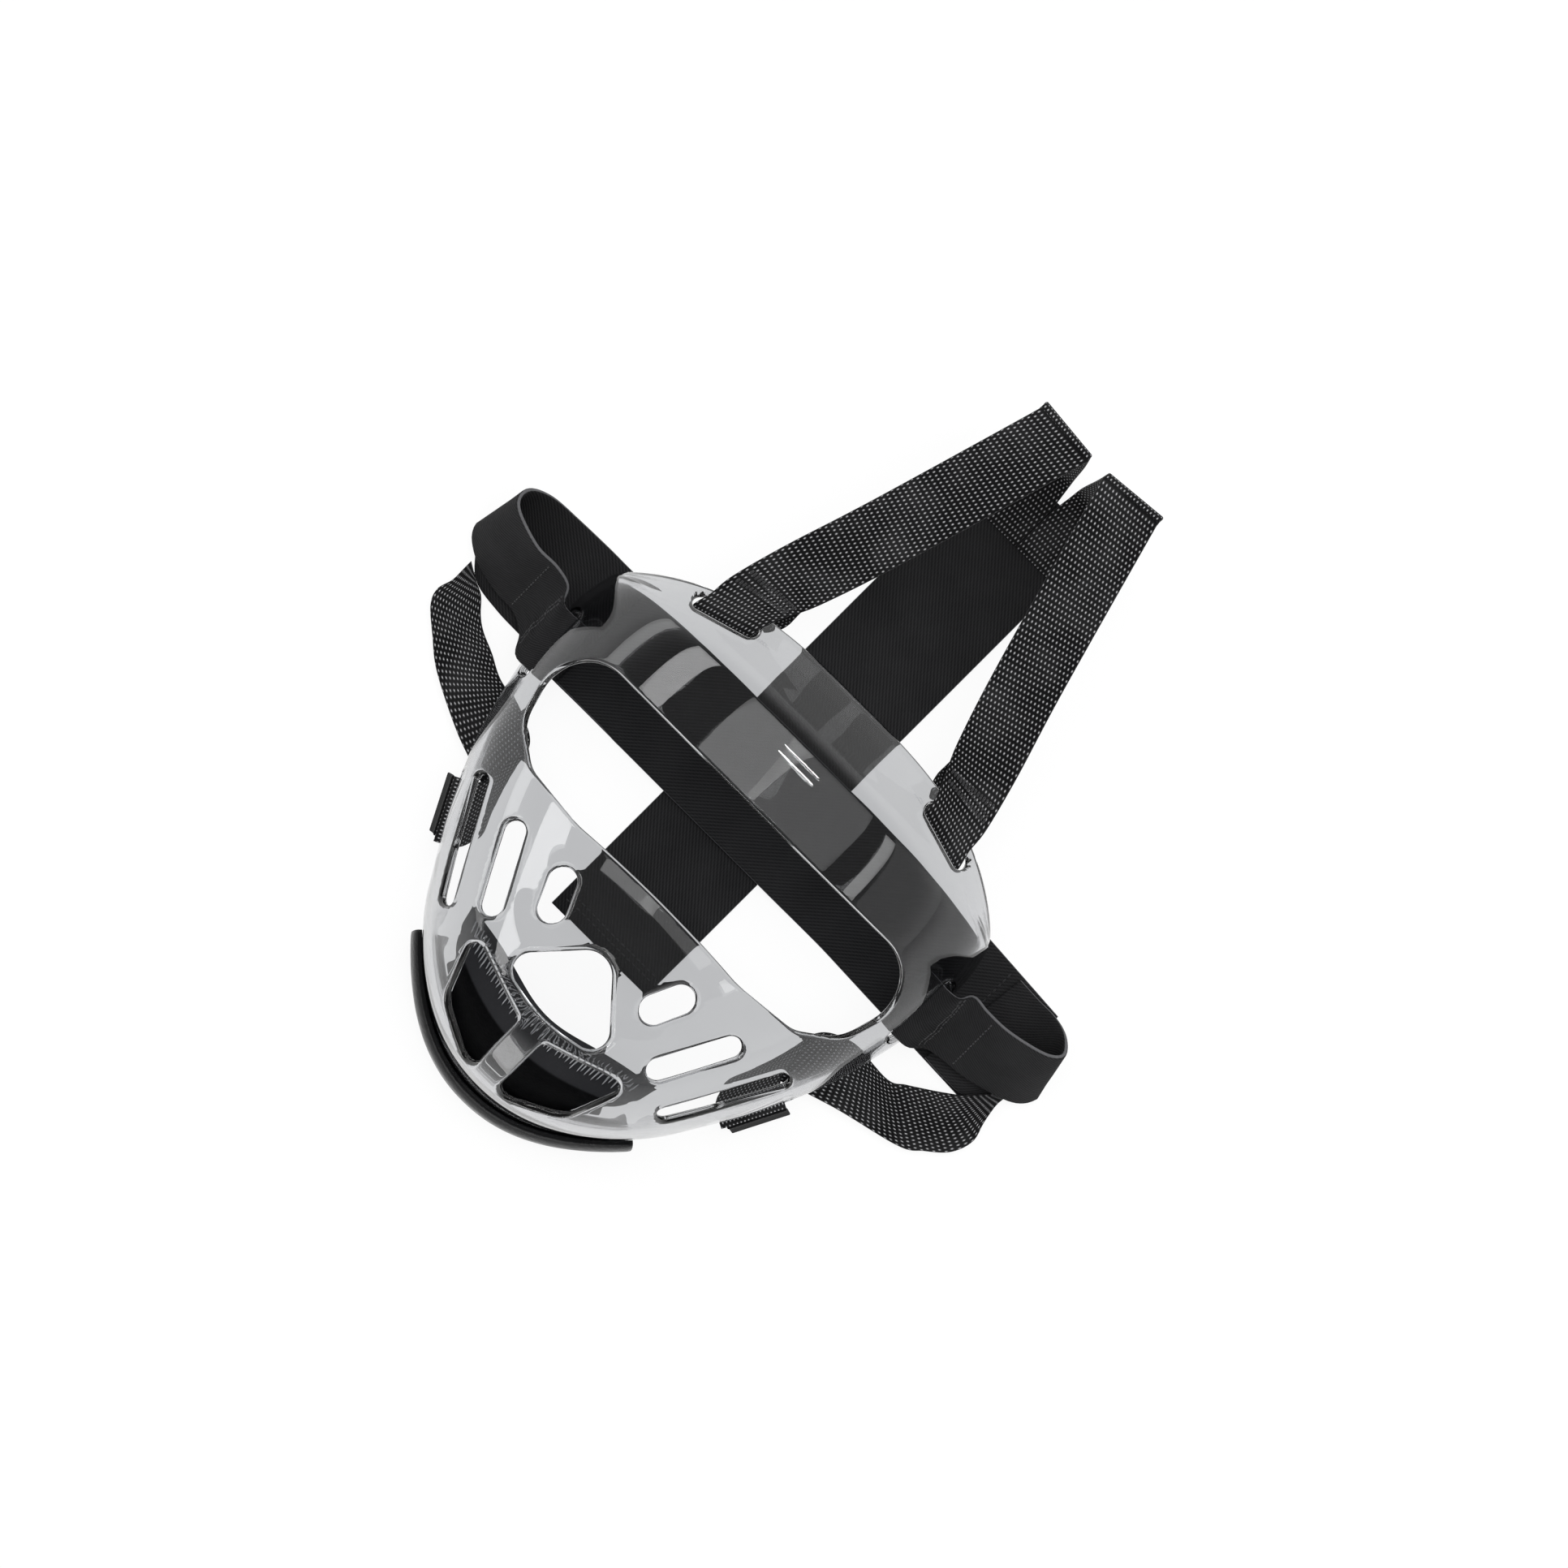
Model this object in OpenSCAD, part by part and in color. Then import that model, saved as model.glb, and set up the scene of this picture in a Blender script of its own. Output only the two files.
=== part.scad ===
// Clear face mask for sparring, lying on its back on a table with its harness spread flat beneath it.
// X runs across the face, Y towards the crown, Z away from the table, out of the front of the mask.
// The origin is on the table, under the middle of the place where the crown strap meets the back strap.
// Left and right are those of the front view: left is -X.

/* [Shell] */
// Wall of the clear moulded shell
wall = 3; // [2:0.5:4]
// Half width of the shell at the rim beside the temples
temple_half_w = 101.5; // [94:0.5:110]
// Half width at the cheeks
cheek_half_w = 91; // [86:0.5:96]
// Half width of the chin, where the jaw rim turns into the chin rim
chin_half_w = 61; // [56:0.5:66]
// Height of the front of the forehead band above the table
brow_z = 62; // [56:1:70]
// Height of the nose, the highest part of the mask
nose_z = 88; // [82:1:96]
// Height of the rim beside the temples
temple_rim_z = 4.6; // [4.2:0.2:7]
// Height of the jaw rim over the table
jaw_rim_z = 13; // [11:0.5:16]
// Top edge of the forehead flange, at the middle
flange_y = 50; // [46:0.5:56]
// Height of that edge over the table
flange_z = 36; // [32:0.5:42]
// Crease between the flange and the forehead band
crease_y = 23.5; // [21:0.5:26]
// How far the chin rim lies below the origin
chin_y = 155.5; // [150:0.5:162]

/* [Openings in the shell] */
// Width of the eye opening
eye_w = 172; // [160:1:176]
// Top edge of the eye opening, below the origin
eye_top_y = 5; // [3:0.5:8]
// Bottom edge of the eye opening, below the origin
eye_bottom_y = 52.5; // [48:0.5:56]
// Corner radius of the eye opening
eye_corner_r = 19; // [12:1:22]
// Width of the nose opening at its foot
nose_w = 42.5; // [36:0.5:48]
// Arched top of the nose opening, below the origin
nose_top_y = 77.5; // [74:0.5:82]
// Foot of the nose opening, below the origin
nose_foot_y = 104.5; // [100:0.5:106]
// Width of the clear bridge between the two mouth openings
mouth_bridge_w = 11.5; // [8:0.5:16]
// Outer corner of each mouth opening, from the middle
mouth_half_w = 36.5; // [32:0.5:40]
// Upper inner corner of each mouth opening, below the origin
mouth_top_y = 112.5; // [110:0.5:116]
// Lower inner corner of each mouth opening, below the origin
mouth_foot_y = 139; // [132:0.5:141]
// Width of the cheek slots
cheek_slot_w = 8; // [6:0.5:9]
// Length of the middle cheek slot
cheek_slot_l = 34; // [28:1:38]
// Length of the small oval slot beside the nose
nose_slot_l = 20; // [14:0.5:22]
// Length of the outer cheek slot
outer_slot_l = 48; // [40:1:52]
// Length of the strap slots in the forehead flange
crown_slot_l = 31; // [30:0.5:34]
// Opening of the strap slots in the forehead flange, seen from the front
crown_slot_w = 7.5; // [6.5:0.5:8.5]
// Angle of those slots, with their outer ends lower
crown_tilt = 16; // [10:1:20]
// Length of the strap slots in the side walls
side_slot_l = 31; // [30:0.5:34]
// Opening of the strap slots in the side walls
side_slot_w = 7; // [6:0.5:8]
// Height of the temple slot above the table
temple_slot_z = 29; // [26:0.5:32]
// Height of the jaw slot above the table
jaw_slot_z = 27; // [25:0.5:29]

/* [Chin] */
// Width of the rubber edge guard from end to end
guard_span = 106; // [90:1:110]
// How thick the guard stands on each side of the wall
guard_side = 4.4; // [3:0.1:5]
// How far the guard reaches up the wall
guard_grip = 15; // [12:0.5:18]
// Thickness of the chin pad
pad_t = 4; // [3:0.5:5]
// Half width of the chin pad
pad_half_w = 48; // [42:1:50]
// Height of the front of the chin pad above the table
pad_z = 44; // [38:1:48]
// Free edge of the chin pad at the middle, below the origin
pad_edge_y = 113.5; // [111:0.5:118]

/* [Harness] */
// Width of the elastic back, crown and temple straps
elastic_w = 50; // [45:1:52]
// Thickness of the elastic
elastic_t = 1.6; // [1.2:0.1:2]
// Width of the webbing
webbing_w = 25; // [22:1:26]
// Thickness of the webbing
webbing_t = 1.5; // [1.2:0.1:1.8]
// Thickness of the hook tape
hook_t = 1.2; // [1:0.1:1.6]
// Left end of the back strap, from the middle
back_left_x = 86; // [78:1:88]
// Right end of the back strap, from the middle
back_right_x = 136; // [130:1:138]
// How far the temple loops reach out from the rim
loop_reach = 50; // [46:1:54]
// Top end of the crown strap
crown_top_y = 156; // [150:1:158]
// Bottom end of the crown strap, below the origin
crown_bottom_y = 84.5; // [70:1:88]
// Middle of the crown strap, left of the origin
crown_offset_x = 3.8; // [0:0.2:5]
// Sewn end of the crown webbings on the crown strap
seam_y = 133; // [130:1:140]
// Where the crown webbings fold over, furthest from the face
fold_y = 166; // [164:1:175]
// Height of that fold above the table
fold_z = 73; // [60:1:80]
// Middle of each crown webbing at the fold, from the middle
fold_x = 16.5; // [15:0.5:20]
// Length of the closing tab on the back strap
back_tab_l = 26; // [20:1:30]
// Length of the closing tab on each jaw webbing
jaw_tab_l = 19; // [14:1:20]

/* [Fits] */
// Clearance between pieces that lie on each other
gap = 0.3; // [0.2:0.05:0.4]

/* [Hidden] */
columns = 32;
row_step = 1 / 3;

// Stations of the shell from the flange's edge down to the chin rim. Each is
// [y at the middle, z at the middle, half width, y at the rim, z at the rim, roundness, sweep]
stations = [
    [flange_y, flange_z, temple_half_w - 5, crease_y - 1.5, temple_rim_z + 3.4, 2.3, 3.1],
    [(flange_y + crease_y) / 2, (flange_z + brow_z) / 2, temple_half_w - 3.7, crease_y - 3.5, temple_rim_z + 2, 2.4, 3.2],
    [crease_y, brow_z - 4, temple_half_w - 2.2, crease_y - 7, temple_rim_z + 1, 2.5, 3.2],
    [-eye_top_y, brow_z, temple_half_w, crease_y - 20, temple_rim_z, 2.5, 3],
    [-29, brow_z + 1, temple_half_w - 0.5, -20, temple_rim_z + 1.6, 2.4, 2.8],
    [-52, brow_z + 3, temple_half_w - 4.5, -40, (temple_rim_z + jaw_rim_z) / 2, 2.3, 2.6],
    [-78, (brow_z + nose_z) / 2 + 1, cheek_half_w, -60, jaw_rim_z - 1, 2.1, 2.4],
    [-106, nose_z, (cheek_half_w + chin_half_w) / 2 + 4, -84, jaw_rim_z, 2, 2.2],
    [-127, nose_z - 8, chin_half_w + 9, -101, jaw_rim_z - 1, 2, 2.1],
    [15 - chin_y, nose_z - 24, chin_half_w + 4, -110, jaw_rim_z - 3, 2, 2.1],
    [6.5 - chin_y, 32, chin_half_w + 1.5, -114, 8, 2.1, 2.1],
    [-chin_y, 4, chin_half_w, -117, 5.5, 2.2, 2.1]
];
last = len(stations) - 1;

// A smooth run through a list of stations
function blend(a, b, c, d, t) =
    0.5 * (2 * b + (c - a) * t + (2 * a - 5 * b + 4 * c - d) * t * t + (3 * b - a - 3 * c + d) * t * t * t);
function along(list, v) =
    let (n = len(list) - 1, i = min(floor(v), n - 1), b = list[i], c = list[i + 1])
    blend(i > 0 ? list[i - 1] : 2 * b - c, b, c, i + 2 <= n ? list[i + 2] : 2 * c - b, v - i);

// Outer face of the shell: u runs from rim to rim, -1 to 1, and v down the stations
function face(u, v) =
    let (s = along(stations, v), side = pow(abs(sin(90 * u)), 2 / s[5]))
    [
        s[2] * sign(u) * side,
        s[0] + (s[3] - s[0]) * pow(side, s[6]),
        s[4] + (s[1] - s[4]) * pow(abs(cos(90 * u)), 2 / s[5])
    ];
function unit(a) = a / norm(a);
nudge = 0.02;
// The chin rim takes its direction from the wall just above it: at its corners the rim runs up the wall
above_rim = 0.4;
function outward(u, v) =
    let (
        u0 = max(u - nudge, -1),
        u1 = min(u + nudge, 1),
        v0 = max(min(v, last - above_rim) - nudge, 0),
        v1 = min(v, last - above_rim) + nudge
    )
    unit(cross(face(u, v0) - face(u, v1), face(u0, v0) - face(u1, v0)));
function inside(u, v, depth) = face(u, v) - depth * outward(u, v);

// Solid between two grids of points of the same size, the first on top
module skin(top, bottom) {
    rows = len(top);
    cols = len(top[0]);
    n = rows * cols;
    points = [for (r = top) each r, for (r = bottom) each r];
    function at(i, j) = i * cols + j;
    faces = [
        for (i = [0 : rows - 2], j = [0 : cols - 2]) each [
            [at(i, j), at(i, j + 1), at(i + 1, j)],
            [at(i, j + 1), at(i + 1, j + 1), at(i + 1, j)],
            [n + at(i, j), n + at(i + 1, j), n + at(i, j + 1)],
            [n + at(i, j + 1), n + at(i + 1, j), n + at(i + 1, j + 1)]
        ],
        for (i = [0 : rows - 2]) each [
            [at(i, 0), at(i + 1, 0), n + at(i + 1, 0)],
            [at(i, 0), n + at(i + 1, 0), n + at(i, 0)],
            [at(i + 1, cols - 1), at(i, cols - 1), n + at(i, cols - 1)],
            [at(i + 1, cols - 1), n + at(i, cols - 1), n + at(i + 1, cols - 1)]
        ],
        for (j = [0 : cols - 2]) each [
            [at(0, j + 1), at(0, j), n + at(0, j)],
            [at(0, j + 1), n + at(0, j), n + at(0, j + 1)],
            [at(rows - 1, j), at(rows - 1, j + 1), n + at(rows - 1, j + 1)],
            [at(rows - 1, j), n + at(rows - 1, j + 1), n + at(rows - 1, j)]
        ]
    ];
    polyhedron(points, faces, convexity = 8);
}

// The wall at one height: where on a station line the outer face stands that high
function u_at(v, z) =
    let (s = along(stations, v))
    acos(pow((z - s[4]) / (s[1] - s[4]), s[5] / 2)) / 90;
function flat(a) = [a[0], a[1], 0];

// A slot in a side wall: its middle, its long direction and the level direction out through the wall
function wall_slot(side, v, z) =
    let (
        here = face(side * u_at(v, z), v),
        run = unit(flat(face(side * u_at(v + 0.3, z), v + 0.3) - face(side * u_at(v - 0.3, z), v - 0.3)))
    )
    [here, run, side * [-run[1], run[0], 0]];
temple_v = 3.74;
jaw_v = 7;
function temple_slot(side) = wall_slot(side, temple_v, temple_slot_z);
function jaw_slot(side) = wall_slot(side, jaw_v, jaw_slot_z);

// A slot in the forehead flange: its middle, its long direction and the level direction to the crown
crown_u = 0.335;
crown_v = 0.714;
crown_slope = 0.1;
function crown_slot(side) =
    let (tilt = -side * crown_tilt)
    [
        face(side * crown_u, crown_v),
        unit([cos(tilt), sin(tilt), -side * crown_slope]),
        [-sin(tilt), cos(tilt), 0]
    ];

module capsule(length, width) {
    square([length - width, width], center = true);
    for (end = [-1, 1])
        translate([end * (length - width) / 2, 0]) circle(d = width, $fn = 20);
}

nose_bump = 1.6;
nose_bump_r = 450;
// Circles that round the lower corners of the eye opening: in from its side, below the origin, radius
eye_low = [[18, 31, 16], [24, 37, 14], [44, eye_bottom_y - 8, 8]];
module eye_outline() difference() {
    hull() for (s = [-1, 1]) {
        translate([s * (eye_w / 2 - eye_corner_r), -eye_top_y - eye_corner_r]) circle(eye_corner_r, $fn = 40);
        for (c = eye_low)
            translate([s * (eye_w / 2 - c[0]), -c[1]]) circle(c[2], $fn = 32);
    }
    translate([0, nose_bump - eye_bottom_y - nose_bump_r]) circle(nose_bump_r, $fn = 240);
}

nose_top_r = 9.5;
nose_foot_r = 6.5;
nose_sag = 1.8;
module nose_outline() hull() {
    translate([0, -nose_top_y - nose_top_r]) circle(nose_top_r, $fn = 28);
    for (s = [-1, 1])
        translate([s * (nose_w / 2 - nose_foot_r), nose_foot_r - nose_foot_y]) circle(nose_foot_r, $fn = 24);
    for (k = [-1 : 0.5 : 1])
        translate([k * (nose_w / 2 - nose_foot_r), 1 - nose_foot_y - nose_sag * (1 - k * k)]) circle(1, $fn = 8);
}

module mouth_outline() hull() {
    inner = mouth_bridge_w / 2;
    translate([mouth_half_w - 3.2, 4.4 - mouth_top_y]) circle(3.2, $fn = 16);
    translate([inner + 2.6, -mouth_top_y - 2.6]) circle(2.6, $fn = 16);
    translate([inner + 4.2, 4.2 - mouth_foot_y]) circle(4.2, $fn = 20);
    translate([mouth_half_w - 15.8, -(mouth_top_y + mouth_foot_y) / 2 + 4.8]) circle(11, $fn = 36);
}

module front_openings() {
    eye_outline();
    nose_outline();
    for (s = [0, 1]) mirror([s, 0]) {
        mouth_outline();
        translate([27.3, -74]) rotate(64) capsule(nose_slot_l, 10.5);
        translate([47.6, -81]) rotate(59.7) capsule(cheek_slot_l, cheek_slot_w);
        translate([65.5, -85.2]) rotate(59.2) capsule(outer_slot_l, cheek_slot_w * 0.7);
    }
}

module crown_slots() for (side = [-1, 1]) {
    middle = crown_slot(side)[0];
    translate([middle[0], middle[1], 0]) rotate(-side * crown_tilt) linear_extrude(nose_z)
        capsule(crown_slot_l, crown_slot_w);
}

module side_slot(frame) {
    translate(frame[0]) rotate(atan2(frame[2][1], frame[2][0])) rotate([90, 0, 90])
        translate([0, 0, -2.5 * wall]) linear_extrude(4 * wall) capsule(side_slot_l, side_slot_w);
}

vs = [for (k = [0 : round(last / row_step)]) min(k * row_step, last)];
us = [for (j = [0 : columns]) 2 * j / columns - 1];

module face_shell() {
    color([0.88, 0.9, 0.92, 0.45]) difference() {
        skin([for (v = vs) [for (u = us) face(u, v)]], [for (v = vs) [for (u = us) inside(u, v, wall)]]);
        translate([0, 0, 24]) linear_extrude(nose_z) front_openings();
        crown_slots();
        for (s = [-1, 1]) {
            side_slot(temple_slot(s));
            side_slot(jaw_slot(s));
        }
    }
}

// Edge guard: a channel of constant section carried along the chin rim. a runs along the rim,
// and each ring is drawn from the rim's own outward and upward directions.
guard_steps = 26;
rim_v = last;
function rim_u(x) = let (s = along(stations, rim_v)) asin(pow(abs(x) / s[2], s[5] / 2)) / 90 * sign(x);
module chin_edge_guard() {
    out = guard_side;
    foot = 3.5;
    slack = gap + 0.15;
    rings = [for (k = [0 : guard_steps])
        let (
            u = rim_u((2 * k / guard_steps - 1) * guard_span / 2),
            rim = face(u, rim_v),
            n = outward(u, rim_v),
            up = unit(face(u, rim_v - 0.12) - rim),
            profile = [
                [slack, guard_grip], [out * 0.5, guard_grip * 0.96], [out, guard_grip * 0.7],
                [out + slack, guard_grip * 0.35], [out + slack, 0], [out * 0.5, -foot * 0.85], [-wall / 2, -foot],
                [-wall - out * 0.5, -foot * 0.75], [-wall - slack - out * 0.6, 0],
                [-wall - slack - out * 0.6, guard_grip * 0.4], [-wall - slack, guard_grip * 0.6],
                [-wall - slack, -slack], [slack, -slack]
            ]
        )
        [for (q = profile) rim + q[0] * n + q[1] * up]];
    color([0.1, 0.1, 0.1]) loft(rings);
}

// Solid through a row of closed rings of the same number of points
module loft(rings) {
    m = len(rings[0]);
    n = len(rings);
    points = [for (r = rings) each r];
    faces = [
        [for (i = [0 : m - 1]) i],
        [for (i = [m - 1 : -1 : 0]) (n - 1) * m + i],
        for (k = [0 : n - 2], i = [0 : m - 1]) each [
            [k * m + i, (k + 1) * m + i, k * m + (i + 1) % m],
            [k * m + (i + 1) % m, (k + 1) * m + i, (k + 1) * m + (i + 1) % m]
        ]
    ];
    polyhedron(points, faces, convexity = 6);
}

// Chin pad: a cup from just inside the rim guard up to its free edge behind the mouth openings
pad_rows = 12;
pad_cols = 20;
function pad_point(k, t, depth) =
    let (
        u = rim_u(k * pad_half_w),
        start = inside(u, rim_v, wall + guard_side) + [0, 0, guard_grip * 0.25],
        low = inside(u, rim_v - 0.9, wall + guard_side + 3),
        edge = [k * (pad_half_w + 1), -pad_edge_y + 10.5 * k * k, pad_z - 3 - 5 * k * k],
        bend = [k * (pad_half_w - 3), -pad_edge_y - 14 + 14 * k * k, pad_z - 4 * k * k]
    )
    along([start, low, bend, edge], 3 * t) - [0, 0, depth];
function pad_inner(k, t) =
    let (
        here = pad_point(k, t, 0),
        across = pad_point(k + 0.02, t, 0) - pad_point(k - 0.02, t, 0),
        up = pad_point(k, min(t + 0.02, 1), 0) - pad_point(k, max(t - 0.02, 0), 0)
    )
    here - pad_t * unit(cross(across, up));
module chin_pad() {
    ks = [for (j = [0 : pad_cols]) 1.96 * j / pad_cols - 0.98];
    ts = [for (i = [0 : pad_rows]) 1 - i / pad_rows];
    color([0.12, 0.12, 0.12])
        skin([for (t = ts) [for (k = ks) pad_point(k, t, 0)]], [for (t = ts) [for (k = ks) pad_inner(k, t)]]);
}

// A strap: a flat band carried along pairs of edge points, joined by a smooth run
// with this many steps from one pair to the next.
strap_steps = 4;
function pair(middle, across, width) = [middle + width / 2 * across, middle - width / 2 * across];
module band(pairs, thick) {
    n = len(pairs) - 1;
    tops = [for (p = pairs) p[0]];
    lows = [for (p = pairs) p[1]];
    middles = (tops + lows) / 2;
    rings = [for (k = [0 : n * strap_steps])
        let (
            v = k / strap_steps,
            a = along(tops, v),
            b = along(lows, v),
            way = along(middles, min(v + 0.05, n)) - along(middles, max(v - 0.05, 0)),
            up = thick / 2 * unit(cross(way, a - b))
        )
        [b - up, a - up, a + up, b + up]];
    loft(rings);
}

// Heights of the layers on the table
back_over_z = elastic_t + hook_t;
layer_z = elastic_t + gap + 0.05;
patch_inset = 3;
patch_l = 19;

// Back strap: lies over the crown strap in the middle and sinks to the layers beside it
drape = 16;
function drape_z(x, low) =
    let (reach = elastic_w / 2 + crown_offset_x, t = min(max((abs(x) - reach) / drape, 0), 1))
    back_over_z + (low - back_over_z) * (3 * t * t - 2 * t * t * t);
module back_strap() {
    left = back_left_x - back_tab_l;
    xs = [for (k = [-left : 4 : back_right_x]) k, back_right_x];
    lower = [for (x = xs) [x, drape_z(x, x < 0 ? layer_z : 0)]];
    upper = [for (i = [len(xs) - 1 : -1 : 0]) [xs[i], lower[i][1] + elastic_t]];
    color([0.11, 0.11, 0.11]) translate([0, elastic_w / 2, 0]) rotate([90, 0, 0])
        linear_extrude(elastic_w) polygon(concat(lower, upper));
}
tab_gap = 0.5;
module back_strap_tab() {
    color([0.09, 0.09, 0.09]) translate([-back_left_x, -elastic_w / 2, layer_z])
        cube([back_tab_l - tab_gap, elastic_w - 1.5, elastic_t]);
}

// A place beside a slot: so far out along its level direction, and so far above its middle
function beside(frame, out, up) = frame[0] + out * frame[2] + [0, 0, up];

// End of a temple strap: gathered through the slot, down inside the wall, out under the rim and up
// again behind its own front, where it is stitched
bunched_w = side_slot_l - 5;
function temple_end(side) =
    let (f = temple_slot(side), run = -f[1])
    [
        pair(beside(f, 5, -1) + [0, 1, 0], unit([0, 1, 0.38]), bunched_w + 2),
        pair(beside(f, 0, -1.6), run, bunched_w),
        pair(beside(f, -3.1, -2.3), run, bunched_w),
        pair(beside(f, -4, -5.5), run, bunched_w),
        pair(beside(f, -2.2, -11), run, bunched_w),
        pair(beside(f, -0.8, -17), run, bunched_w),
        pair(beside(f, -0.6, -21.5), run, bunched_w),
        pair(beside(f, 0.5, -25), run, bunched_w),
        pair(beside(f, 3.2, -26.1), run, bunched_w),
        pair(beside(f, 6.2, -24.8), run, bunched_w),
        pair(beside(f, 7.4, -20) + [0, 1, 0], unit([0, 1, 0.2]), bunched_w),
        pair(beside(f, 8.6, -14) + [0, 4.5, 0], unit([0, 1, 0.5]), bunched_w - 1)
    ];

// A strap's route beside the face: pairs of edge points, each [share of the loops' reach out from the
// rim, y, z]
function routed(side, route) =
    [for (p = route) [for (q = p) [side * (temple_half_w + q[0] * loop_reach), q[1], q[2]]]];

// Upper and lower edge of each temple strap, out along the table, round the standing loop and back to
// the slot. The left one starts flat on the table, under the end of the back strap.
left_flat_pairs = [for (x = [34, 14, -6])
    pair([x - back_left_x, 0, elastic_t / 2], [0, 1, 0], elastic_w)];
left_temple_route = [
    [[-0.03, 25, 1.3], [-0.03, -23, 0.9]],
    [[0.11, 25, 3], [0.11, -22, 1]],
    [[0.39, 24.5, 11], [0.39, -21.5, 1]],
    [[0.61, 23.5, 24], [0.65, -19, 1]],
    [[0.72, 20.5, 37], [0.82, -10.5, 1.2]],
    [[0.74, 16.5, 45.5], [0.94, -4, 1.8]],
    [[0.7, 12.5, 48], [0.89, -8.5, 3.8]],
    [[0.59, 9.5, 48.5], [0.73, -13.4, 5]],
    [[0.38, 6.5, 47], [0.49, -16.3, 5]],
    [[0.2, 6.5, 43.5], [0.28, -17, 5]],
    [[0.06, 4.5, 38], [0.12, -21, 9]]
];
right_temple_route = [
    [[0.29, 19.5, 3.95], [0.19, -26.5, 3.95]],
    [[0.49, 19, 5], [0.41, -27, 3.95]],
    [[0.65, 18.8, 14], [0.61, -25.5, 4]],
    [[0.74, 16.5, 32], [0.81, -15.5, 3]],
    [[0.79, 11.6, 45.5], [0.99, -7, 2.4]],
    [[0.74, 8, 48], [0.95, -12, 4.5]],
    [[0.61, 5.4, 49], [0.81, -16.2, 8.8]],
    [[0.38, 3, 47.5], [0.49, -20.7, 9]],
    [[0.19, 2.6, 44], [0.26, -22, 8.5]],
    [[0.06, 3, 38], [0.12, -23.5, 10]]
];
module left_temple_strap() color([0.11, 0.11, 0.11])
    band(concat(left_flat_pairs, routed(-1, left_temple_route), temple_end(-1)), elastic_t);
module right_temple_strap() color([0.11, 0.11, 0.11])
    band(concat(routed(1, right_temple_route), temple_end(1)), elastic_t);
module right_strap_hook_patch() {
    color([0.16, 0.16, 0.16]) translate([back_right_x - patch_l, patch_inset - elastic_w / 2, elastic_t])
        cube([patch_l, elastic_w - 2 * patch_inset, hook_t]);
}

module crown_strap() {
    color([0.1, 0.1, 0.1]) translate([-crown_offset_x - elastic_w / 2, -crown_bottom_y, 0])
        cube([elastic_w, crown_bottom_y + crown_top_y, elastic_t]);
}
module crown_strap_hook_patch() {
    side = elastic_w - 2 * patch_inset;
    color([0.16, 0.16, 0.16]) translate([-crown_offset_x - side / 2, -side / 2, elastic_t])
        cube([side, side, hook_t]);
}

// Crown webbing: sewn flat on the crown strap, up to the fold, down the front to the flange, in
// through the slot, out again under the flange's edge and up to the stitches behind its own front
seam_x = 12.4;
slotted_w = webbing_w - 1;
crown_lean = 0.58;
crown_off = 1.3;
function crown_lead(side) =
    let (f = crown_slot(side))
    [f[0] + side * crown_off * f[1], f[1], f[2] - side * crown_lean * flat(f[1])];
fold_shift = 0.7;
front_bow = [-1.2, 0, 1.3];
function crown_pairs(side) =
    let (
        f = crown_lead(side),
        low = elastic_t + gap + 0.1 + webbing_t / 2,
        flat_way = [1, 0, 0],
        fold_way = unit([1, side * 0.087, 0]),
        front_way = unit([1, side * 0.3, 0]),
        fold_top = [side * fold_x + fold_shift, fold_y - 2.5, fold_z],
        slot_top = beside(f, 12, 0.2),
        bow = [side * front_bow[0], front_bow[1], front_bow[2]]
    )
    [
        pair([side * seam_x, seam_y, low], flat_way, webbing_w - 0.6),
        pair([side * seam_x, fold_y - 20, low], flat_way, webbing_w - 0.6),
        pair([side * (seam_x + 0.6), fold_y - 12, low + 0.5], flat_way, webbing_w),
        pair([side * (seam_x + 1.4), fold_y - 6, low + 3], flat_way, webbing_w),
        pair([side * (fold_x - 2), fold_y - 2, fold_z * 0.2], flat_way, webbing_w),
        pair([side * (fold_x - 0.8) + fold_shift, fold_y, fold_z * 0.55], flat_way, webbing_w),
        pair([side * fold_x + fold_shift, fold_y + 0.8, fold_z - 8], fold_way, webbing_w),
        pair([side * fold_x + fold_shift, fold_y, fold_z - 2], fold_way, webbing_w),
        pair(fold_top, fold_way, webbing_w),
        pair(fold_top + [side * 1.6, -6, -1], fold_way, webbing_w),
        pair(fold_top + 0.575 * (slot_top - fold_top) + bow, front_way, webbing_w),
        pair(fold_top + 0.854 * (slot_top - fold_top) + bow / 2, unit([1, side * 0.2, 0]), webbing_w),
        pair(slot_top, unit([1, 0, 0] + f[1]), webbing_w),
        pair(beside(f, 4.6, -0.6), f[1], slotted_w),
        pair(beside(f, 1, -0.3), f[1], slotted_w),
        pair(beside(f, -1.1, -2), f[1], slotted_w),
        pair(beside(f, -1.4, -5), f[1], slotted_w),
        pair(beside(f, -0.4, -9), f[1], slotted_w),
        pair(beside(f, 1.8, -12.4), f[1], slotted_w),
        pair(beside(f, 4.4, -14.4), f[1], slotted_w),
        pair(beside(f, 7, -14.4), f[1], slotted_w),
        pair(beside(f, 9.8, -11.6), f[1], slotted_w),
        pair(beside(f, 14, -5.8), unit([1, 0, 0] + f[1]), webbing_w),
        pair(beside(f, 19, -1.6), unit([1, 0, 0] + 0.5 * f[1]), webbing_w)
    ];
module left_crown_webbing() color([0.13, 0.13, 0.13]) band(crown_pairs(-1), webbing_t);
module right_crown_webbing() color([0.13, 0.13, 0.13]) band(crown_pairs(1), webbing_t);

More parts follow.
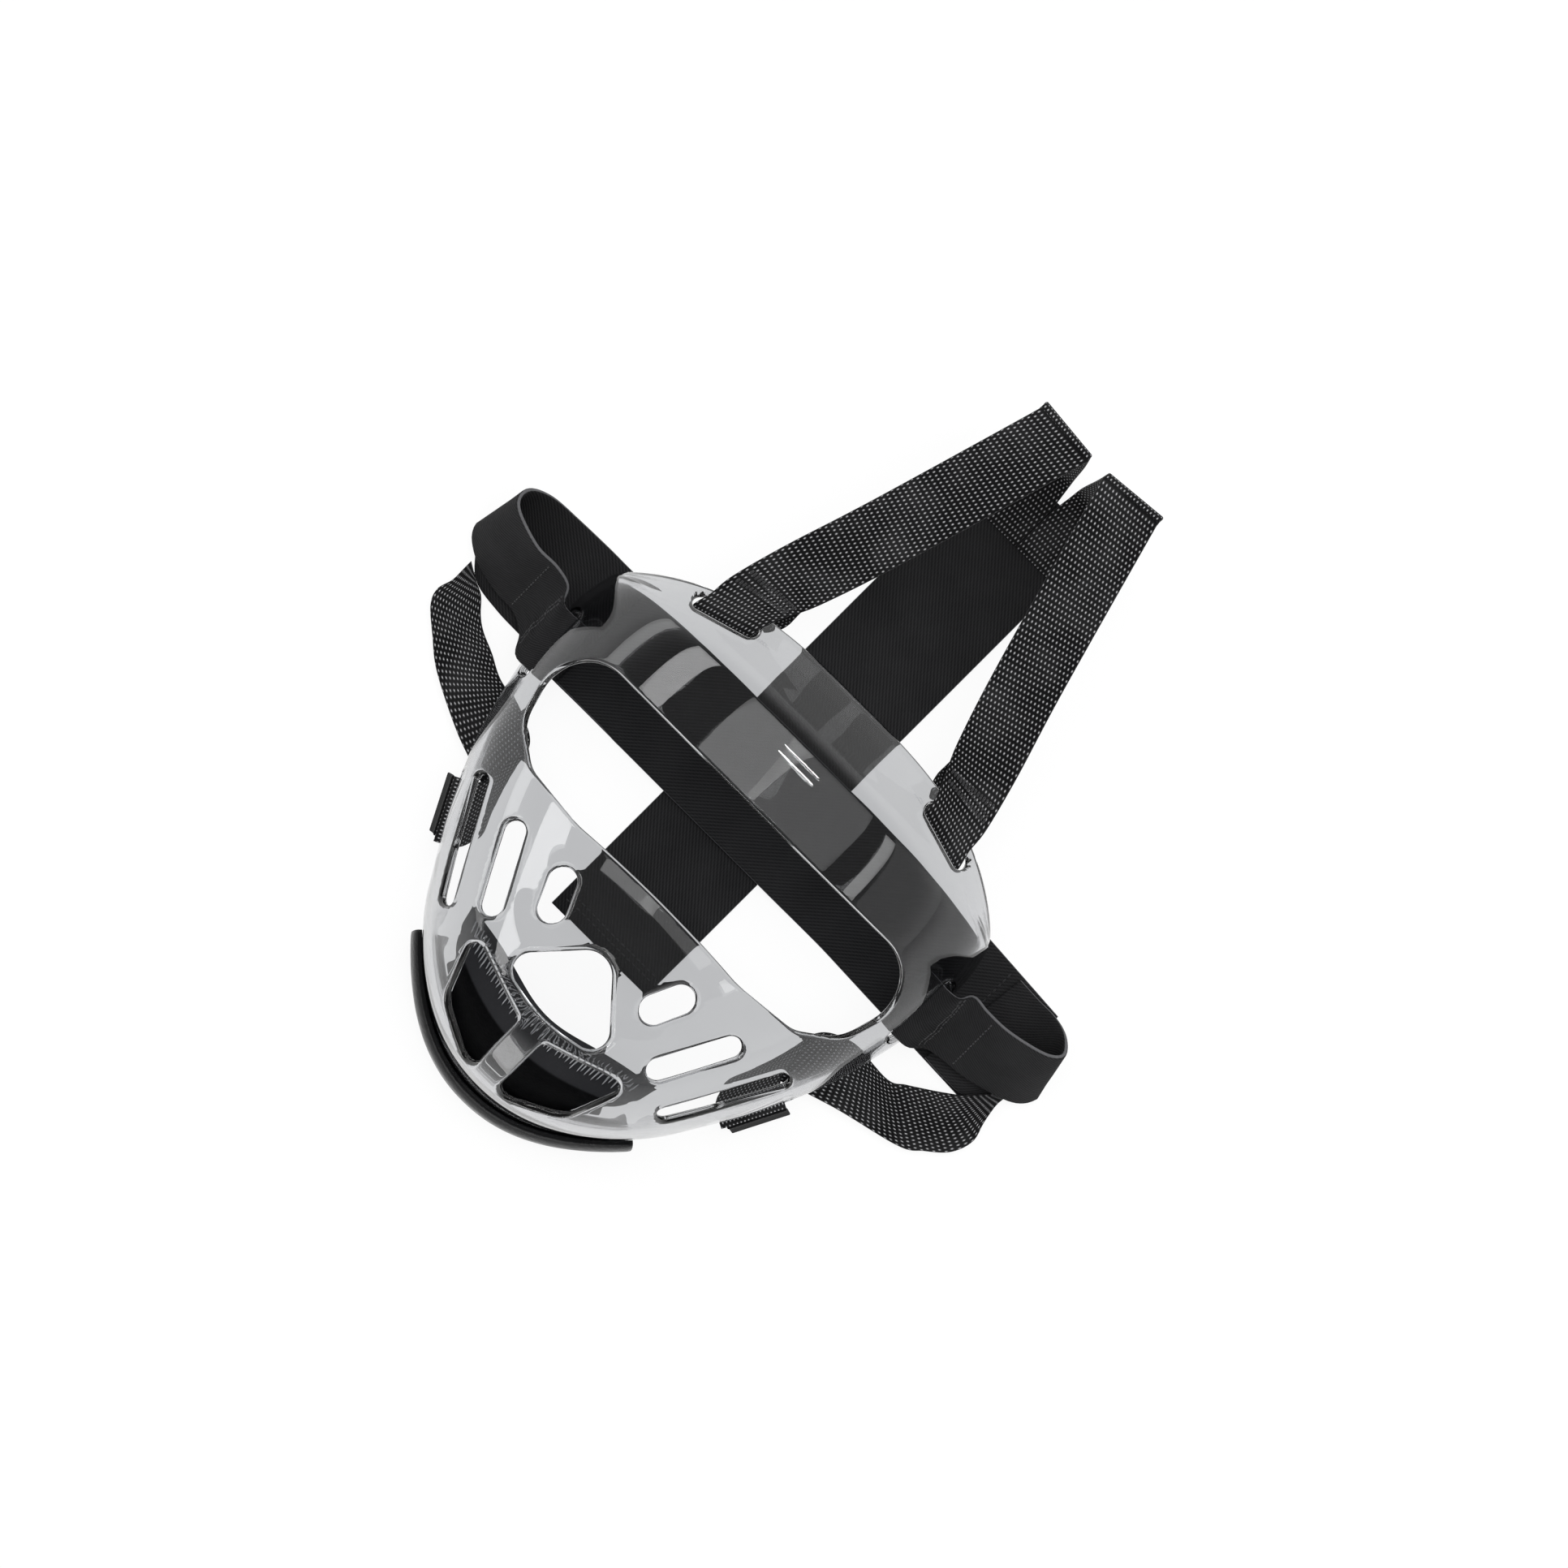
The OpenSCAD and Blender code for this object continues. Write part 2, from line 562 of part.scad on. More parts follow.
// End of a jaw webbing: under the jaw rim, up inside the wall and out through the jaw slot
function jaw_end(side) =
    let (f = jaw_slot(side), run = -f[1])
    [
        pair(beside(f, -1.7, 5 - jaw_slot_z) - 35 * f[1], unit([side * -0.42, 0.9, 0]), webbing_w),
        pair(beside(f, -14, 6 - jaw_slot_z) - 20 * f[1], unit([side * -0.2, 0.5, 0] + 0.6 * run), webbing_w),
        pair(beside(f, -12, 9 - jaw_slot_z) - 8 * f[1], run, webbing_w),
        pair(beside(f, -9, 17 - jaw_slot_z) - 2 * f[1], run, webbing_w),
        pair(beside(f, -wall - 2.5, -1.5), run, webbing_w),
        pair(beside(f, -wall / 2, 0), run, webbing_w),
        pair(beside(f, gap + webbing_t, -1.2), run, webbing_w)
    ];

// Inner and outer edge of each jaw webbing, from its sewn end at the temple loop
left_jaw_route = [
    [[0.7, -17.5, 3.2], [0.78, -15, 3.1]],
    [[0.63, -19.5, 3.4], [0.78, -19, 3]],
    [[0.54, -21.5, 5], [0.78, -25, 3]],
    [[0.43, -27, 6], [0.81, -31.5, 4]],
    [[0.33, -30.5, 6], [0.76, -37.5, 4]],
    [[0.17, -34, 6], [0.59, -45, 4]],
    [[-0.01, -38.5, 6], [0.37, -53.5, 4.5]]
];
right_jaw_route = [
    [[0.73, -18.5, 7.2], [0.82, -16.5, 5.7]],
    [[0.68, -21, 7.2], [0.82, -20.5, 4.8]],
    [[0.58, -26.5, 6.6], [0.85, -28, 3.5]],
    [[0.46, -31, 6], [0.89, -36, 4]],
    [[0.37, -34, 6], [0.83, -44.5, 4]],
    [[0.23, -38.5, 6], [0.68, -51.5, 4]],
    [[0.1, -42, 6], [0.51, -57, 4.5]]
];
module left_jaw_webbing() color([0.13, 0.13, 0.13])
    band(concat(routed(-1, left_jaw_route), jaw_end(-1)), webbing_t);
module right_jaw_webbing() color([0.13, 0.13, 0.13])
    band(concat(routed(1, right_jaw_route), jaw_end(1)), webbing_t);

// Jaw tab: the smooth hook-faced end of the webbing, hanging down outside the wall from the slot
tab_w = webbing_w - 2;
function jaw_tab_pairs(side) =
    let (
        f = jaw_slot(side),
        top = beside(f, gap + webbing_t + 0.5, -2.3) - f[1],
        foot = beside(f, 6.5, -2.3 - jaw_tab_l) - f[1]
    )
    [
        pair(top, f[1], tab_w),
        pair((top + foot) / 2 - 0.6 * f[2], f[1], tab_w),
        pair(foot, f[1], tab_w)
    ];
module left_jaw_tab() color([0.08, 0.08, 0.08]) band(jaw_tab_pairs(-1), hook_t);
module right_jaw_tab() color([0.08, 0.08, 0.08]) band(jaw_tab_pairs(1), hook_t);

face_shell();
chin_edge_guard();
chin_pad();
back_strap();
back_strap_tab();
left_temple_strap();
right_temple_strap();
right_strap_hook_patch();
crown_strap();
crown_strap_hook_patch();
left_crown_webbing();
right_crown_webbing();
left_jaw_webbing();
right_jaw_webbing();
left_jaw_tab();
right_jaw_tab();
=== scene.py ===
import bpy
import math
import numpy as np
from mathutils import Matrix


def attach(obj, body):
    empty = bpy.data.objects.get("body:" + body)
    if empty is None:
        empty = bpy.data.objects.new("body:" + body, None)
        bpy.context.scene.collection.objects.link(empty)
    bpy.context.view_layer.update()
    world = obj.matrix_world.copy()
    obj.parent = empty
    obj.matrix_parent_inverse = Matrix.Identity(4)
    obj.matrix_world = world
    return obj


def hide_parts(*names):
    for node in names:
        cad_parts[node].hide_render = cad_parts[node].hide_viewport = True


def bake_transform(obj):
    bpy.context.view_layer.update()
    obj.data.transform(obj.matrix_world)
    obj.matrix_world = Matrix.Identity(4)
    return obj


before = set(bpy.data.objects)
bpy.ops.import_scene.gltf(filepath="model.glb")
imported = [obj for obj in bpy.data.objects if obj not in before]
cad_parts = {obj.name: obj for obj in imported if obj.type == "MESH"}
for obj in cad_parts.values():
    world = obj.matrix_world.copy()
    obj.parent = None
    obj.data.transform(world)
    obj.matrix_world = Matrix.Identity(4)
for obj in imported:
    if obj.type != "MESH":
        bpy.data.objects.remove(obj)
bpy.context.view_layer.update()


# ---------------------------------------------------------------- camera
# The photo looks straight down on the mask from about a metre, with the
# mask turned so that its crown points to the upper right.
camera_data = bpy.data.cameras.new("photo_camera")
camera_data.lens = 61.1
camera_data.sensor_width = 36.0
camera_data.clip_start = 0.01
camera = bpy.data.objects.new("photo_camera", camera_data)
camera.location = (0.00143, 0.0087, 1.0)
camera.rotation_euler = (0.0, 0.0, math.radians(45.0))
bpy.context.collection.objects.link(camera)
bpy.context.scene.camera = camera
bpy.context.scene.view_settings.view_transform = "Standard"


# ---------------------------------------------------------------- table and light
# A white table in a white tent that is brightest near the horizon, soft boxes
# that stand as columns in the shell's brow, two strip lamps, and a silk
# overhead that makes no reflection.
def srgb(text):
    """Linear colour of an sRGB hex: each channel c/255, then ((c + 0.055) / 1.055) to the power 2.4."""
    channels = [int(text[k:k + 2], 16) / 255.0 for k in (0, 2, 4)]
    return tuple(c / 12.92 if c <= 0.04045 else ((c + 0.055) / 1.055) ** 2.4 for c in channels) + (1.0,)


def add(tree, kind, where=(0, 0), links=None, **values):
    """One shader node: sockets are set from values by name or number, and wired from links, socket to output."""
    made = tree.nodes.new(kind)
    made.location = where
    for name, value in values.items():
        key = int(name[1:]) if name[0] == "i" and name[1:].isdigit() else name.replace("_", " ")
        if isinstance(key, str) and key not in made.inputs:
            setattr(made, name, value)
        else:
            made.inputs[key].default_value = value
    for name, source in (links or {}).items():
        tree.links.new(source, made.inputs[name])
    return made


def material(name):
    """A new node material: returns it with its tree, its Principled shader and its output."""
    made = bpy.data.materials.new(name)
    made.use_nodes = True
    tree = made.node_tree
    return made, tree, tree.nodes["Principled BSDF"], tree.nodes["Material Output"]


# Matt white board: it keeps the mask's shadow, and rays from the camera, and
# those through or off the shell, find it white.
table_paint, tree, shader, output = material("white table")
shader.inputs["Base Color"].default_value = srgb("fafafa")
shader.inputs["Roughness"].default_value = 0.9
shader.inputs["Specular IOR Level"].default_value = 0.1
glow = add(tree, "ShaderNodeEmission", (-200, -200), Color=srgb("ffffff"), Strength=1.0)
path = add(tree, "ShaderNodeLightPath", (-700, 300))
either = add(tree, "ShaderNodeMath", (-500, 300), operation="MAXIMUM",
             links={0: path.outputs["Is Camera Ray"], 1: path.outputs["Is Transmission Ray"]})
any_ray = add(tree, "ShaderNodeMath", (-350, 300), operation="MAXIMUM",
              links={0: either.outputs[0], 1: path.outputs["Is Glossy Ray"]})
GLOW_SHARE = 0.88
share = add(tree, "ShaderNodeMath", (-200, 300), operation="MULTIPLY", i1=GLOW_SHARE, links={0: any_ray.outputs[0]})
mixed = add(tree, "ShaderNodeMixShader", (100, 0),
            links={0: share.outputs[0], 1: shader.outputs[0], 2: glow.outputs[0]})
tree.links.new(mixed.outputs[0], output.inputs["Surface"])
table_mesh = bpy.data.meshes.new("table")
reach, below = 4.0, -0.0002
table_mesh.from_pydata([(-reach, -reach, below), (reach, -reach, below), (reach, reach, below),
                        (-reach, reach, below)], [], [(0, 1, 2, 3)])
table = bpy.data.objects.new("table", table_mesh)
bpy.context.collection.objects.link(table)
table_mesh.materials.append(table_paint)

world = bpy.data.worlds.new("studio tent")
bpy.context.scene.world = world
world.use_nodes = True
sky = world.node_tree.nodes["Background"]
ray = add(world.node_tree, "ShaderNodeTexCoord", (-900, 0))
height_of = add(world.node_tree, "ShaderNodeSeparateXYZ", (-700, 0), links={0: ray.outputs["Generated"]})
tent = add(world.node_tree, "ShaderNodeMapRange", (-500, 0), interpolation_type="SMOOTHSTEP",
           From_Min=0.3, From_Max=0.75, To_Min=1.0, To_Max=0.17, links={"Value": height_of.outputs["Z"]})
world.node_tree.links.new(tent.outputs["Result"], sky.inputs["Strength"])
sky.inputs["Color"].default_value = srgb("ffffff")


def soft_box(name, place, size, power, aim=(0.0, 0.0, 0.04)):
    """A rectangular lamp at place that faces aim, size (width, height) in metres: its width lies level in the
    plane of x and z, so that its long edges run with y."""
    lamp_data = bpy.data.lights.new(name, "AREA")
    lamp_data.shape = "RECTANGLE"
    lamp_data.size, lamp_data.size_y = size
    lamp_data.energy = power
    lamp = bpy.data.objects.new(name, lamp_data)
    lamp.location = place
    back = np.array(place) - np.array(aim)
    back /= np.linalg.norm(back)
    wide = np.cross([0.0, 1.0, 0.0], back)
    wide /= np.linalg.norm(wide)
    lamp.rotation_euler = Matrix(np.stack([wide, np.cross(back, wide), back], 1).tolist()).to_euler()
    bpy.context.collection.objects.link(lamp)
    return lamp


soft_box("brow panel", (-0.183, 0.45, 1.6), (0.353, 1.1), 2.0)
soft_box("dim brow panel", (0.1925, 0.45, 1.6), (0.475, 1.1), 1.3)
soft_box("left box", (-1.05, 0.4, 1.68), (0.36, 1.6), 6.2)
soft_box("far left box", (-1.63, 0.4, 1.12), (0.28, 1.6), 2.6)
soft_box("right column", (0.7, 0.4, 1.6), (0.12, 1.1), 1.0)
soft_box("right box", (1.08, 0.3, 1.22), (0.85, 1.6), 1.5)
soft_box("foot box", (0.1, -1.3, 0.35), (1.3, 0.42), 5.0)
soft_box("upper strip lamp", (0.0, 0.42, 1.0), (0.085, 0.012), 0.07)
soft_box("lower strip lamp", (0.0, 0.335, 1.0), (0.085, 0.012), 0.07)
silk = soft_box("ceiling silk", (0.1, 0.4, 1.6), (1.4, 1.2), 17.5)
silk.visible_glossy = silk.visible_transmission = False


# ---------------------------------------------------------------- face shell
# The moulded polycarbonate shell: a clear wall 3 mm thick with rounded
# lips round its rim and round every opening, polished on both sides.
WALL = 3.0
FLANGE_Y, FLANGE_Z, BROW_Z, NOSE_Z, RIM_Z, JAW_Z = 50.0, 36.0, 62.0, 88.0, 4.6, 13.0
TEMPLE_W, CHEEK_W, CHIN_W, CREASE_Y, CHIN_Y, EYE_TOP = 101.5, 91.0, 61.0, 23.5, 155.5, 5.0
stations = np.array([
    [FLANGE_Y, FLANGE_Z, TEMPLE_W - 5, CREASE_Y - 1.5, RIM_Z + 3.4, 2.3, 3.1],
    [(FLANGE_Y + CREASE_Y) / 2, (FLANGE_Z + BROW_Z) / 2, TEMPLE_W - 3.7, CREASE_Y - 3.5, RIM_Z + 2, 2.4, 3.2],
    [CREASE_Y, BROW_Z - 4, TEMPLE_W - 2.2, CREASE_Y - 7, RIM_Z + 1, 2.5, 3.2],
    [-EYE_TOP, BROW_Z, TEMPLE_W, CREASE_Y - 20, RIM_Z, 2.5, 3],
    [-29, BROW_Z + 1, TEMPLE_W - 0.5, -20, RIM_Z + 1.6, 2.4, 2.8],
    [-52, BROW_Z + 3, TEMPLE_W - 4.5, -40, (RIM_Z + JAW_Z) / 2, 2.3, 2.6],
    [-78, (BROW_Z + NOSE_Z) / 2 + 1, CHEEK_W, -60, JAW_Z - 1, 2.1, 2.4],
    [-106, NOSE_Z, (CHEEK_W + CHIN_W) / 2 + 4, -84, JAW_Z, 2, 2.2],
    [-127, NOSE_Z - 8, CHIN_W + 9, -101, JAW_Z - 1, 2, 2.1],
    [15 - CHIN_Y, NOSE_Z - 24, CHIN_W + 4, -110, JAW_Z - 3, 2, 2.1],
    [6.5 - CHIN_Y, 32, CHIN_W + 1.5, -114, 8, 2.1, 2.1],
    [-CHIN_Y, 4, CHIN_W, -117, 5.5, 2.2, 2.1]])
LAST = len(stations) - 1.0


def along(rows, v):
    """Catmull-Rom run through rows at v: half of 2b + (c-a)t + (2a-5b+4c-d)t2 + (3b-a-3c+d)t3."""
    rows = np.asarray(rows, float)
    v = np.clip(np.asarray(v, float), 0.0, len(rows) - 1.0)
    i = np.minimum(v.astype(int), len(rows) - 2)
    t = (v - i).reshape(v.shape + (1,) * (rows.ndim - 1))
    wide = np.concatenate([[2 * rows[0] - rows[1]], rows, [2 * rows[-1] - rows[-2]]])
    a, b, c, d = wide[i], wide[i + 1], wide[i + 2], wide[i + 3]
    return 0.5 * (2 * b + (c - a) * t + (2 * a - 5 * b + 4 * c - d) * t ** 2 + (3 * b - a - 3 * c + d) * t ** 3)


def face(u, v):
    """Outer face of the shell in mm: x = w side, y from mid to rim by side to the power sweep, z by cosine to 2/p."""
    s = along(stations, v)
    side = np.abs(np.sin(np.pi / 2 * u)) ** (2 / s[..., 5])
    rise = np.abs(np.cos(np.pi / 2 * u)) ** (2 / s[..., 5])
    return np.stack([s[..., 2] * np.sign(u) * side,
                     s[..., 0] + (s[..., 3] - s[..., 0]) * side ** s[..., 6],
                     s[..., 4] + (s[..., 1] - s[..., 4]) * rise], -1)


def unit(a):
    """The same directions at length 1."""
    return a / np.maximum(np.linalg.norm(a, axis=-1, keepdims=True), 1e-12)


def outward(u, v):
    """Normal of the outer face, by differences over 0.01 in u and 0.02 in v, taken a little above the chin rim."""
    v = np.minimum(v, LAST - 0.4)
    return unit(np.cross(face(u, np.maximum(v - 0.02, 0)) - face(u, np.minimum(v + 0.02, LAST)),
                         face(np.maximum(u - 0.01, -1), v) - face(np.minimum(u + 0.01, 1), v)))


def u_at(v, z):
    """Where on a station line the outer face stands z mm high."""
    s = along(stations, np.array([v]))[0]
    return math.acos(((z - s[4]) / (s[1] - s[4])) ** (s[5] / 2)) / (math.pi / 2)


def wall_slot(side, v, z):
    """A slot in a side wall: its middle, its long direction and the level direction out of the wall."""
    spot = [face(np.array(side * u_at(w, z)), np.array(float(w))) for w in (v - 0.3, v, v + 0.3)]
    run = unit((spot[2] - spot[0]) * [1, 1, 0])
    return spot[1], run, side * np.array([-run[1], run[0], 0.0])


def crown_slot(side):
    """A slot in the forehead flange, tilted 16 degrees: its middle, long direction and level direction."""
    tilt = math.radians(-side * 16.0)
    return (face(np.array(side * 0.335), np.array(0.714)),
            unit(np.array([math.cos(tilt), math.sin(tilt), -side * 0.1])),
            np.array([-math.sin(tilt), math.cos(tilt), 0.0]))


def round_hull(p, circles):
    """Distance outside (+) of the tangent hull of circles (x, y, r): the largest of p.n minus the hull's
    reach along n, over level directions n that include the normals of every tangent of two circles."""
    c = np.array(circles, float)
    i, j = np.triu_indices(len(c), 1)
    step = c[j, :2] - c[i, :2]
    middle = np.arctan2(step[:, 1], step[:, 0])
    spread = np.arccos(np.clip((c[i, 2] - c[j, 2]) / np.hypot(step[:, 0], step[:, 1]), -1, 1))
    angle = np.concatenate([np.linspace(0, 2 * np.pi, 180, endpoint=False), middle + spread, middle - spread])
    way = np.stack([np.cos(angle), np.sin(angle)])
    return (p[:, :2] @ way - (c[:, :2] @ way + c[:, 2:]).max(0)).max(1)


def capsule(p, centre, turn, length, width):
    """Distance outside a slot with round ends, in plan."""
    a = math.radians(turn)
    q = p[:, :2] - np.array(centre)
    along_slot = q @ np.array([math.cos(a), math.sin(a)])
    across = q @ np.array([-math.sin(a), math.cos(a)])
    return np.hypot(np.maximum(np.abs(along_slot) - (length - width) / 2, 0), across) - width / 2


def openings(p):
    """Distance in mm from the nearest opening of the shell, from its own outline: + on the wall."""
    m = np.abs(p[:, 0])
    q = np.stack([m, p[:, 1]], 1)
    eye = round_hull(q, [(67, -24, 19), (-67, -24, 19), (68, -31, 16), (-68, -31, 16), (62, -37, 14),
                         (-62, -37, 14), (42, -44.5, 8), (-42, -44.5, 8)])
    eye = np.maximum(eye, 450.0 - np.hypot(q[:, 0], q[:, 1] + 500.9))
    nose = round_hull(q, [(0, -87, 9.5), (14.75, -98, 6.5), (-14.75, -98, 6.5), (14.75, -103.5, 1),
                          (-14.75, -103.5, 1), (7.4, -104.85, 1), (-7.4, -104.85, 1), (0, -105.3, 1)])
    mouth = round_hull(q, [(33.3, -108.1, 3.2), (8.35, -115.1, 2.6), (9.95, -134.8, 4.2), (20.7, -120.95, 11)])
    parts = [eye, nose, mouth, capsule(q, (27.3, -74), 64, 20, 10.5), capsule(q, (47.6, -81), 59.7, 34, 8),
             capsule(q, (65.5, -85.2), 59.2, 48, 5.6), capsule(q, crown_slot(1)[0][:2] + [2.1, 0.2], -16, 27, 6.8)]
    for middle, run, level in (wall_slot(1, 3.74, 29), wall_slot(1, 7, 27)):
        r = np.stack([m, p[:, 1], p[:, 2]], 1) - middle
        slot_gap = np.hypot(np.maximum(np.abs(r @ run) - 12, 0), r[:, 2]) - 3.5
        parts.append(np.where((np.abs(r @ level) < 15) & (np.linalg.norm(r, axis=1) < 30), slot_gap, 50.0))
    return np.min(parts, axis=0)


def lip_gap(u, v):
    """Distance from the nearest opening measured on the slope of the shell: plan distance over the slope's share."""
    p, n = face(u, v), outward(u, v)
    here = openings(p)
    near = np.abs(here) < 6
    p, n = p[near], n[near]
    one = unit(np.cross(n, [0.0, 0.02, 1.0]))
    two = np.cross(n, one)
    pull = np.hypot(openings(p + 0.1 * one) - openings(p - 0.1 * one),
                    openings(p + 0.1 * two) - openings(p - 0.1 * two)) / 0.2
    here[near] /= np.clip(pull, 0.25, 1.0)
    return here


def slide_to(u, v, target, rounds=3):
    """Moves points over the shell until their distance from the nearest opening is target."""
    for _ in range(rounds):
        f = lip_gap(u, v) - target
        du, dv = 0.002, 0.01
        fu = (lip_gap(u + du, v) - target - f) / du
        fv = (lip_gap(u, v + dv) - target - f) / dv
        su, sv = 1 / 110.0, 1 / 20.0
        pull = np.maximum((fu * su) ** 2 + (fv * sv) ** 2, 0.05)
        u = u - np.clip(f * fu * su ** 2 / pull, -0.02, 0.02)
        v = v - np.clip(f * fv * sv ** 2 / pull, -0.1, 0.1)
    return u, v


LIP = np.radians([0.0, 20.0, 40.0, 60.0, 76.0, 90.0])
LIP_IN, LIP_HALF = WALL / 2 * (1 - np.sin(LIP)), WALL / 2 * np.cos(LIP)
pitch = 1.55

middle_v = np.linspace(0, LAST, 1201)
middle_len = np.concatenate([[0], np.cumsum(np.linalg.norm(np.diff(
    (face(np.zeros(1201), middle_v) + face(np.full(1201, 0.6), middle_v)) / 2, axis=0), axis=1))])
marks = np.concatenate([LIP_IN[::-1], np.linspace(2.4, middle_len[-1] - 2.4, int(middle_len[-1] / pitch)),
                        middle_len[-1] - LIP_IN])
row_v = np.interp(marks, middle_len, middle_v)
row_d = np.minimum(marks, middle_len[-1] - marks)
fine_u = np.sin(np.linspace(-np.pi / 2, np.pi / 2, 1601))
fine = face(np.broadcast_to(fine_u, (len(row_v), 1601)), np.broadcast_to(row_v[:, None], (len(row_v), 1601)))
run_len = np.concatenate([np.zeros((len(row_v), 1)),
                          np.cumsum(np.linalg.norm(np.diff(fine, axis=1), axis=2), axis=1)], 1)
columns = int(300 / pitch)
grid_u, grid_d = [], []
for line in run_len:
    stops = np.concatenate([LIP_IN[::-1], np.linspace(2.4, line[-1] - 2.4, columns), line[-1] - LIP_IN])
    grid_u.append(np.interp(stops, line, fine_u))
    grid_d.append(np.minimum(stops, line[-1] - stops))
grid_u, grid_d = np.array(grid_u), np.array(grid_d)
rows, cols = grid_u.shape
u, v = grid_u.ravel(), np.repeat(row_v, cols)
border = np.minimum(grid_d, row_d[:, None]).ravel()
at = np.arange(rows * cols).reshape(rows, cols)
a, b, c, d = at[:-1, :-1].ravel(), at[:-1, 1:].ravel(), at[1:, 1:].ravel(), at[1:, :-1].ravel()
tri = np.concatenate([np.stack([a, d, b], 1), np.stack([b, d, c], 1)])

f = lip_gap(u, v) - WALL / 2
edge = np.unique(np.sort(np.concatenate([tri[:, [0, 1]], tri[:, [1, 2]], tri[:, [2, 0]]]), axis=1), axis=0)
cross = edge[f[edge[:, 0]] * f[edge[:, 1]] < 0]
share = f[cross[:, 0]] / (f[cross[:, 0]] - f[cross[:, 1]])
snap = np.unique(np.concatenate([cross[share < 0.3, 0], cross[share > 0.7, 1]]))
snap = snap[border[snap] > 1.6]
u[snap], v[snap] = slide_to(u[snap], v[snap], WALL / 2)
f[snap] = 0.0
cross = edge[f[edge[:, 0]] * f[edge[:, 1]] < 0]
share = f[cross[:, 0]] / (f[cross[:, 0]] - f[cross[:, 1]])
new_u = u[cross[:, 0]] * (1 - share) + u[cross[:, 1]] * share
new_v = v[cross[:, 0]] * (1 - share) + v[cross[:, 1]] * share
new_u, new_v = slide_to(new_u, new_v, WALL / 2, 2)
big = rows * cols + len(cross) + 10
code = cross[:, 0].astype(np.int64) * big + cross[:, 1]
order = np.argsort(code)


def crossing(i, j):
    """Number of the new point where the edge i-j meets the lip."""
    wanted = np.minimum(i, j).astype(np.int64) * big + np.maximum(i, j)
    return rows * cols + order[np.searchsorted(code[order], wanted)]


sign = np.sign(f).astype(int)
kept = [tri[(sign[tri].min(1) >= 0) & (sign[tri].max(1) > 0)]]
part = tri[(sign[tri].min(1) < 0) & (sign[tri].max(1) > 0)]
for turn in range(3):
    t = np.roll(part, -turn, axis=1)
    s = sign[t]
    two = t[(s[:, 0] > 0) & (s[:, 1] > 0) & (s[:, 2] < 0)]
    if len(two):
        m1, m2 = crossing(two[:, 1], two[:, 2]), crossing(two[:, 2], two[:, 0])
        kept += [np.stack([two[:, 0], two[:, 1], m1], 1), np.stack([two[:, 0], m1, m2], 1)]
    one = t[(s[:, 0] > 0) & (s[:, 1] < 0) & (s[:, 2] < 0)]
    if len(one):
        kept.append(np.stack([one[:, 0], crossing(one[:, 0], one[:, 1]), crossing(one[:, 2], one[:, 0])], 1))
    after = t[(s[:, 0] > 0) & (s[:, 1] == 0) & (s[:, 2] < 0)]
    if len(after):
        kept.append(np.stack([after[:, 0], after[:, 1], crossing(after[:, 2], after[:, 0])], 1))
    before = t[(s[:, 0] > 0) & (s[:, 1] < 0) & (s[:, 2] == 0)]
    if len(before):
        kept.append(np.stack([before[:, 0], crossing(before[:, 0], before[:, 1]), before[:, 2]], 1))
tri = np.concatenate(kept)
u, v = np.concatenate([u, new_u]), np.concatenate([v, new_v])
border = np.concatenate([border, np.full(len(new_u), 9.0)])

half = WALL / 2 * np.sqrt(1 - (1 - np.clip(border / (WALL / 2), 0, 1)) ** 2)
directed = np.concatenate([tri[:, [0, 1]], tri[:, [1, 2]], tri[:, [2, 0]]])
forward = directed[:, 0].astype(np.int64) * len(u) + directed[:, 1]
backward = directed[:, 1].astype(np.int64) * len(u) + directed[:, 0]
loose = directed[~np.isin(forward, backward)]
loose = loose[(border[loose].max(1) > 0.01)]
lip_points = np.unique(loose)
spot = np.searchsorted(lip_points, loose)
ring_u, ring_v, ring_half, quads = [u], [v], [half], []
previous = lip_points
lu, lv = u[lip_points], v[lip_points]
count = len(u)
for inward, thick in zip(LIP_IN[1:], LIP_HALF[1:]):
    lu, lv = slide_to(lu, lv, inward, 2)
    now = count + np.arange(len(lip_points))
    ring_u.append(lu)
    ring_v.append(lv)
    ring_half.append(np.full(len(lip_points), thick))
    quads.append(np.stack([previous[spot[:, 1]], previous[spot[:, 0]], now[spot[:, 0]], now[spot[:, 1]]], 1))
    previous = now
    count += len(lip_points)
u, v, half = np.concatenate(ring_u), np.concatenate(ring_v), np.concatenate(ring_half)
quads = np.concatenate(quads)
skin, normal = face(u, v), outward(u, v)
outer = skin - (WALL / 2 - half)[:, None] * normal
inner = skin - (WALL / 2 + half)[:, None] * normal
sx, sy = skin[:, 0], skin[:, 1]
uneven = (np.sin(sx / 6.1 + 1.3 * np.sin(sy / 9.3)) * np.sin(sy / 5.7 + np.sin(sx / 8.2))
          + np.sin(sx / 11.1 + sy / 15.3))
WAVE = 0.02
inner += (WAVE * uneven * (half / (WALL / 2)) ** 4)[:, None] * normal
twin = np.where(half < 1e-4, np.arange(len(u)), np.arange(len(u)) + len(u))
points = np.concatenate([outer, inner]) / 1000
faces = [tri, twin[tri[:, ::-1]], quads, twin[quads[:, ::-1]]]


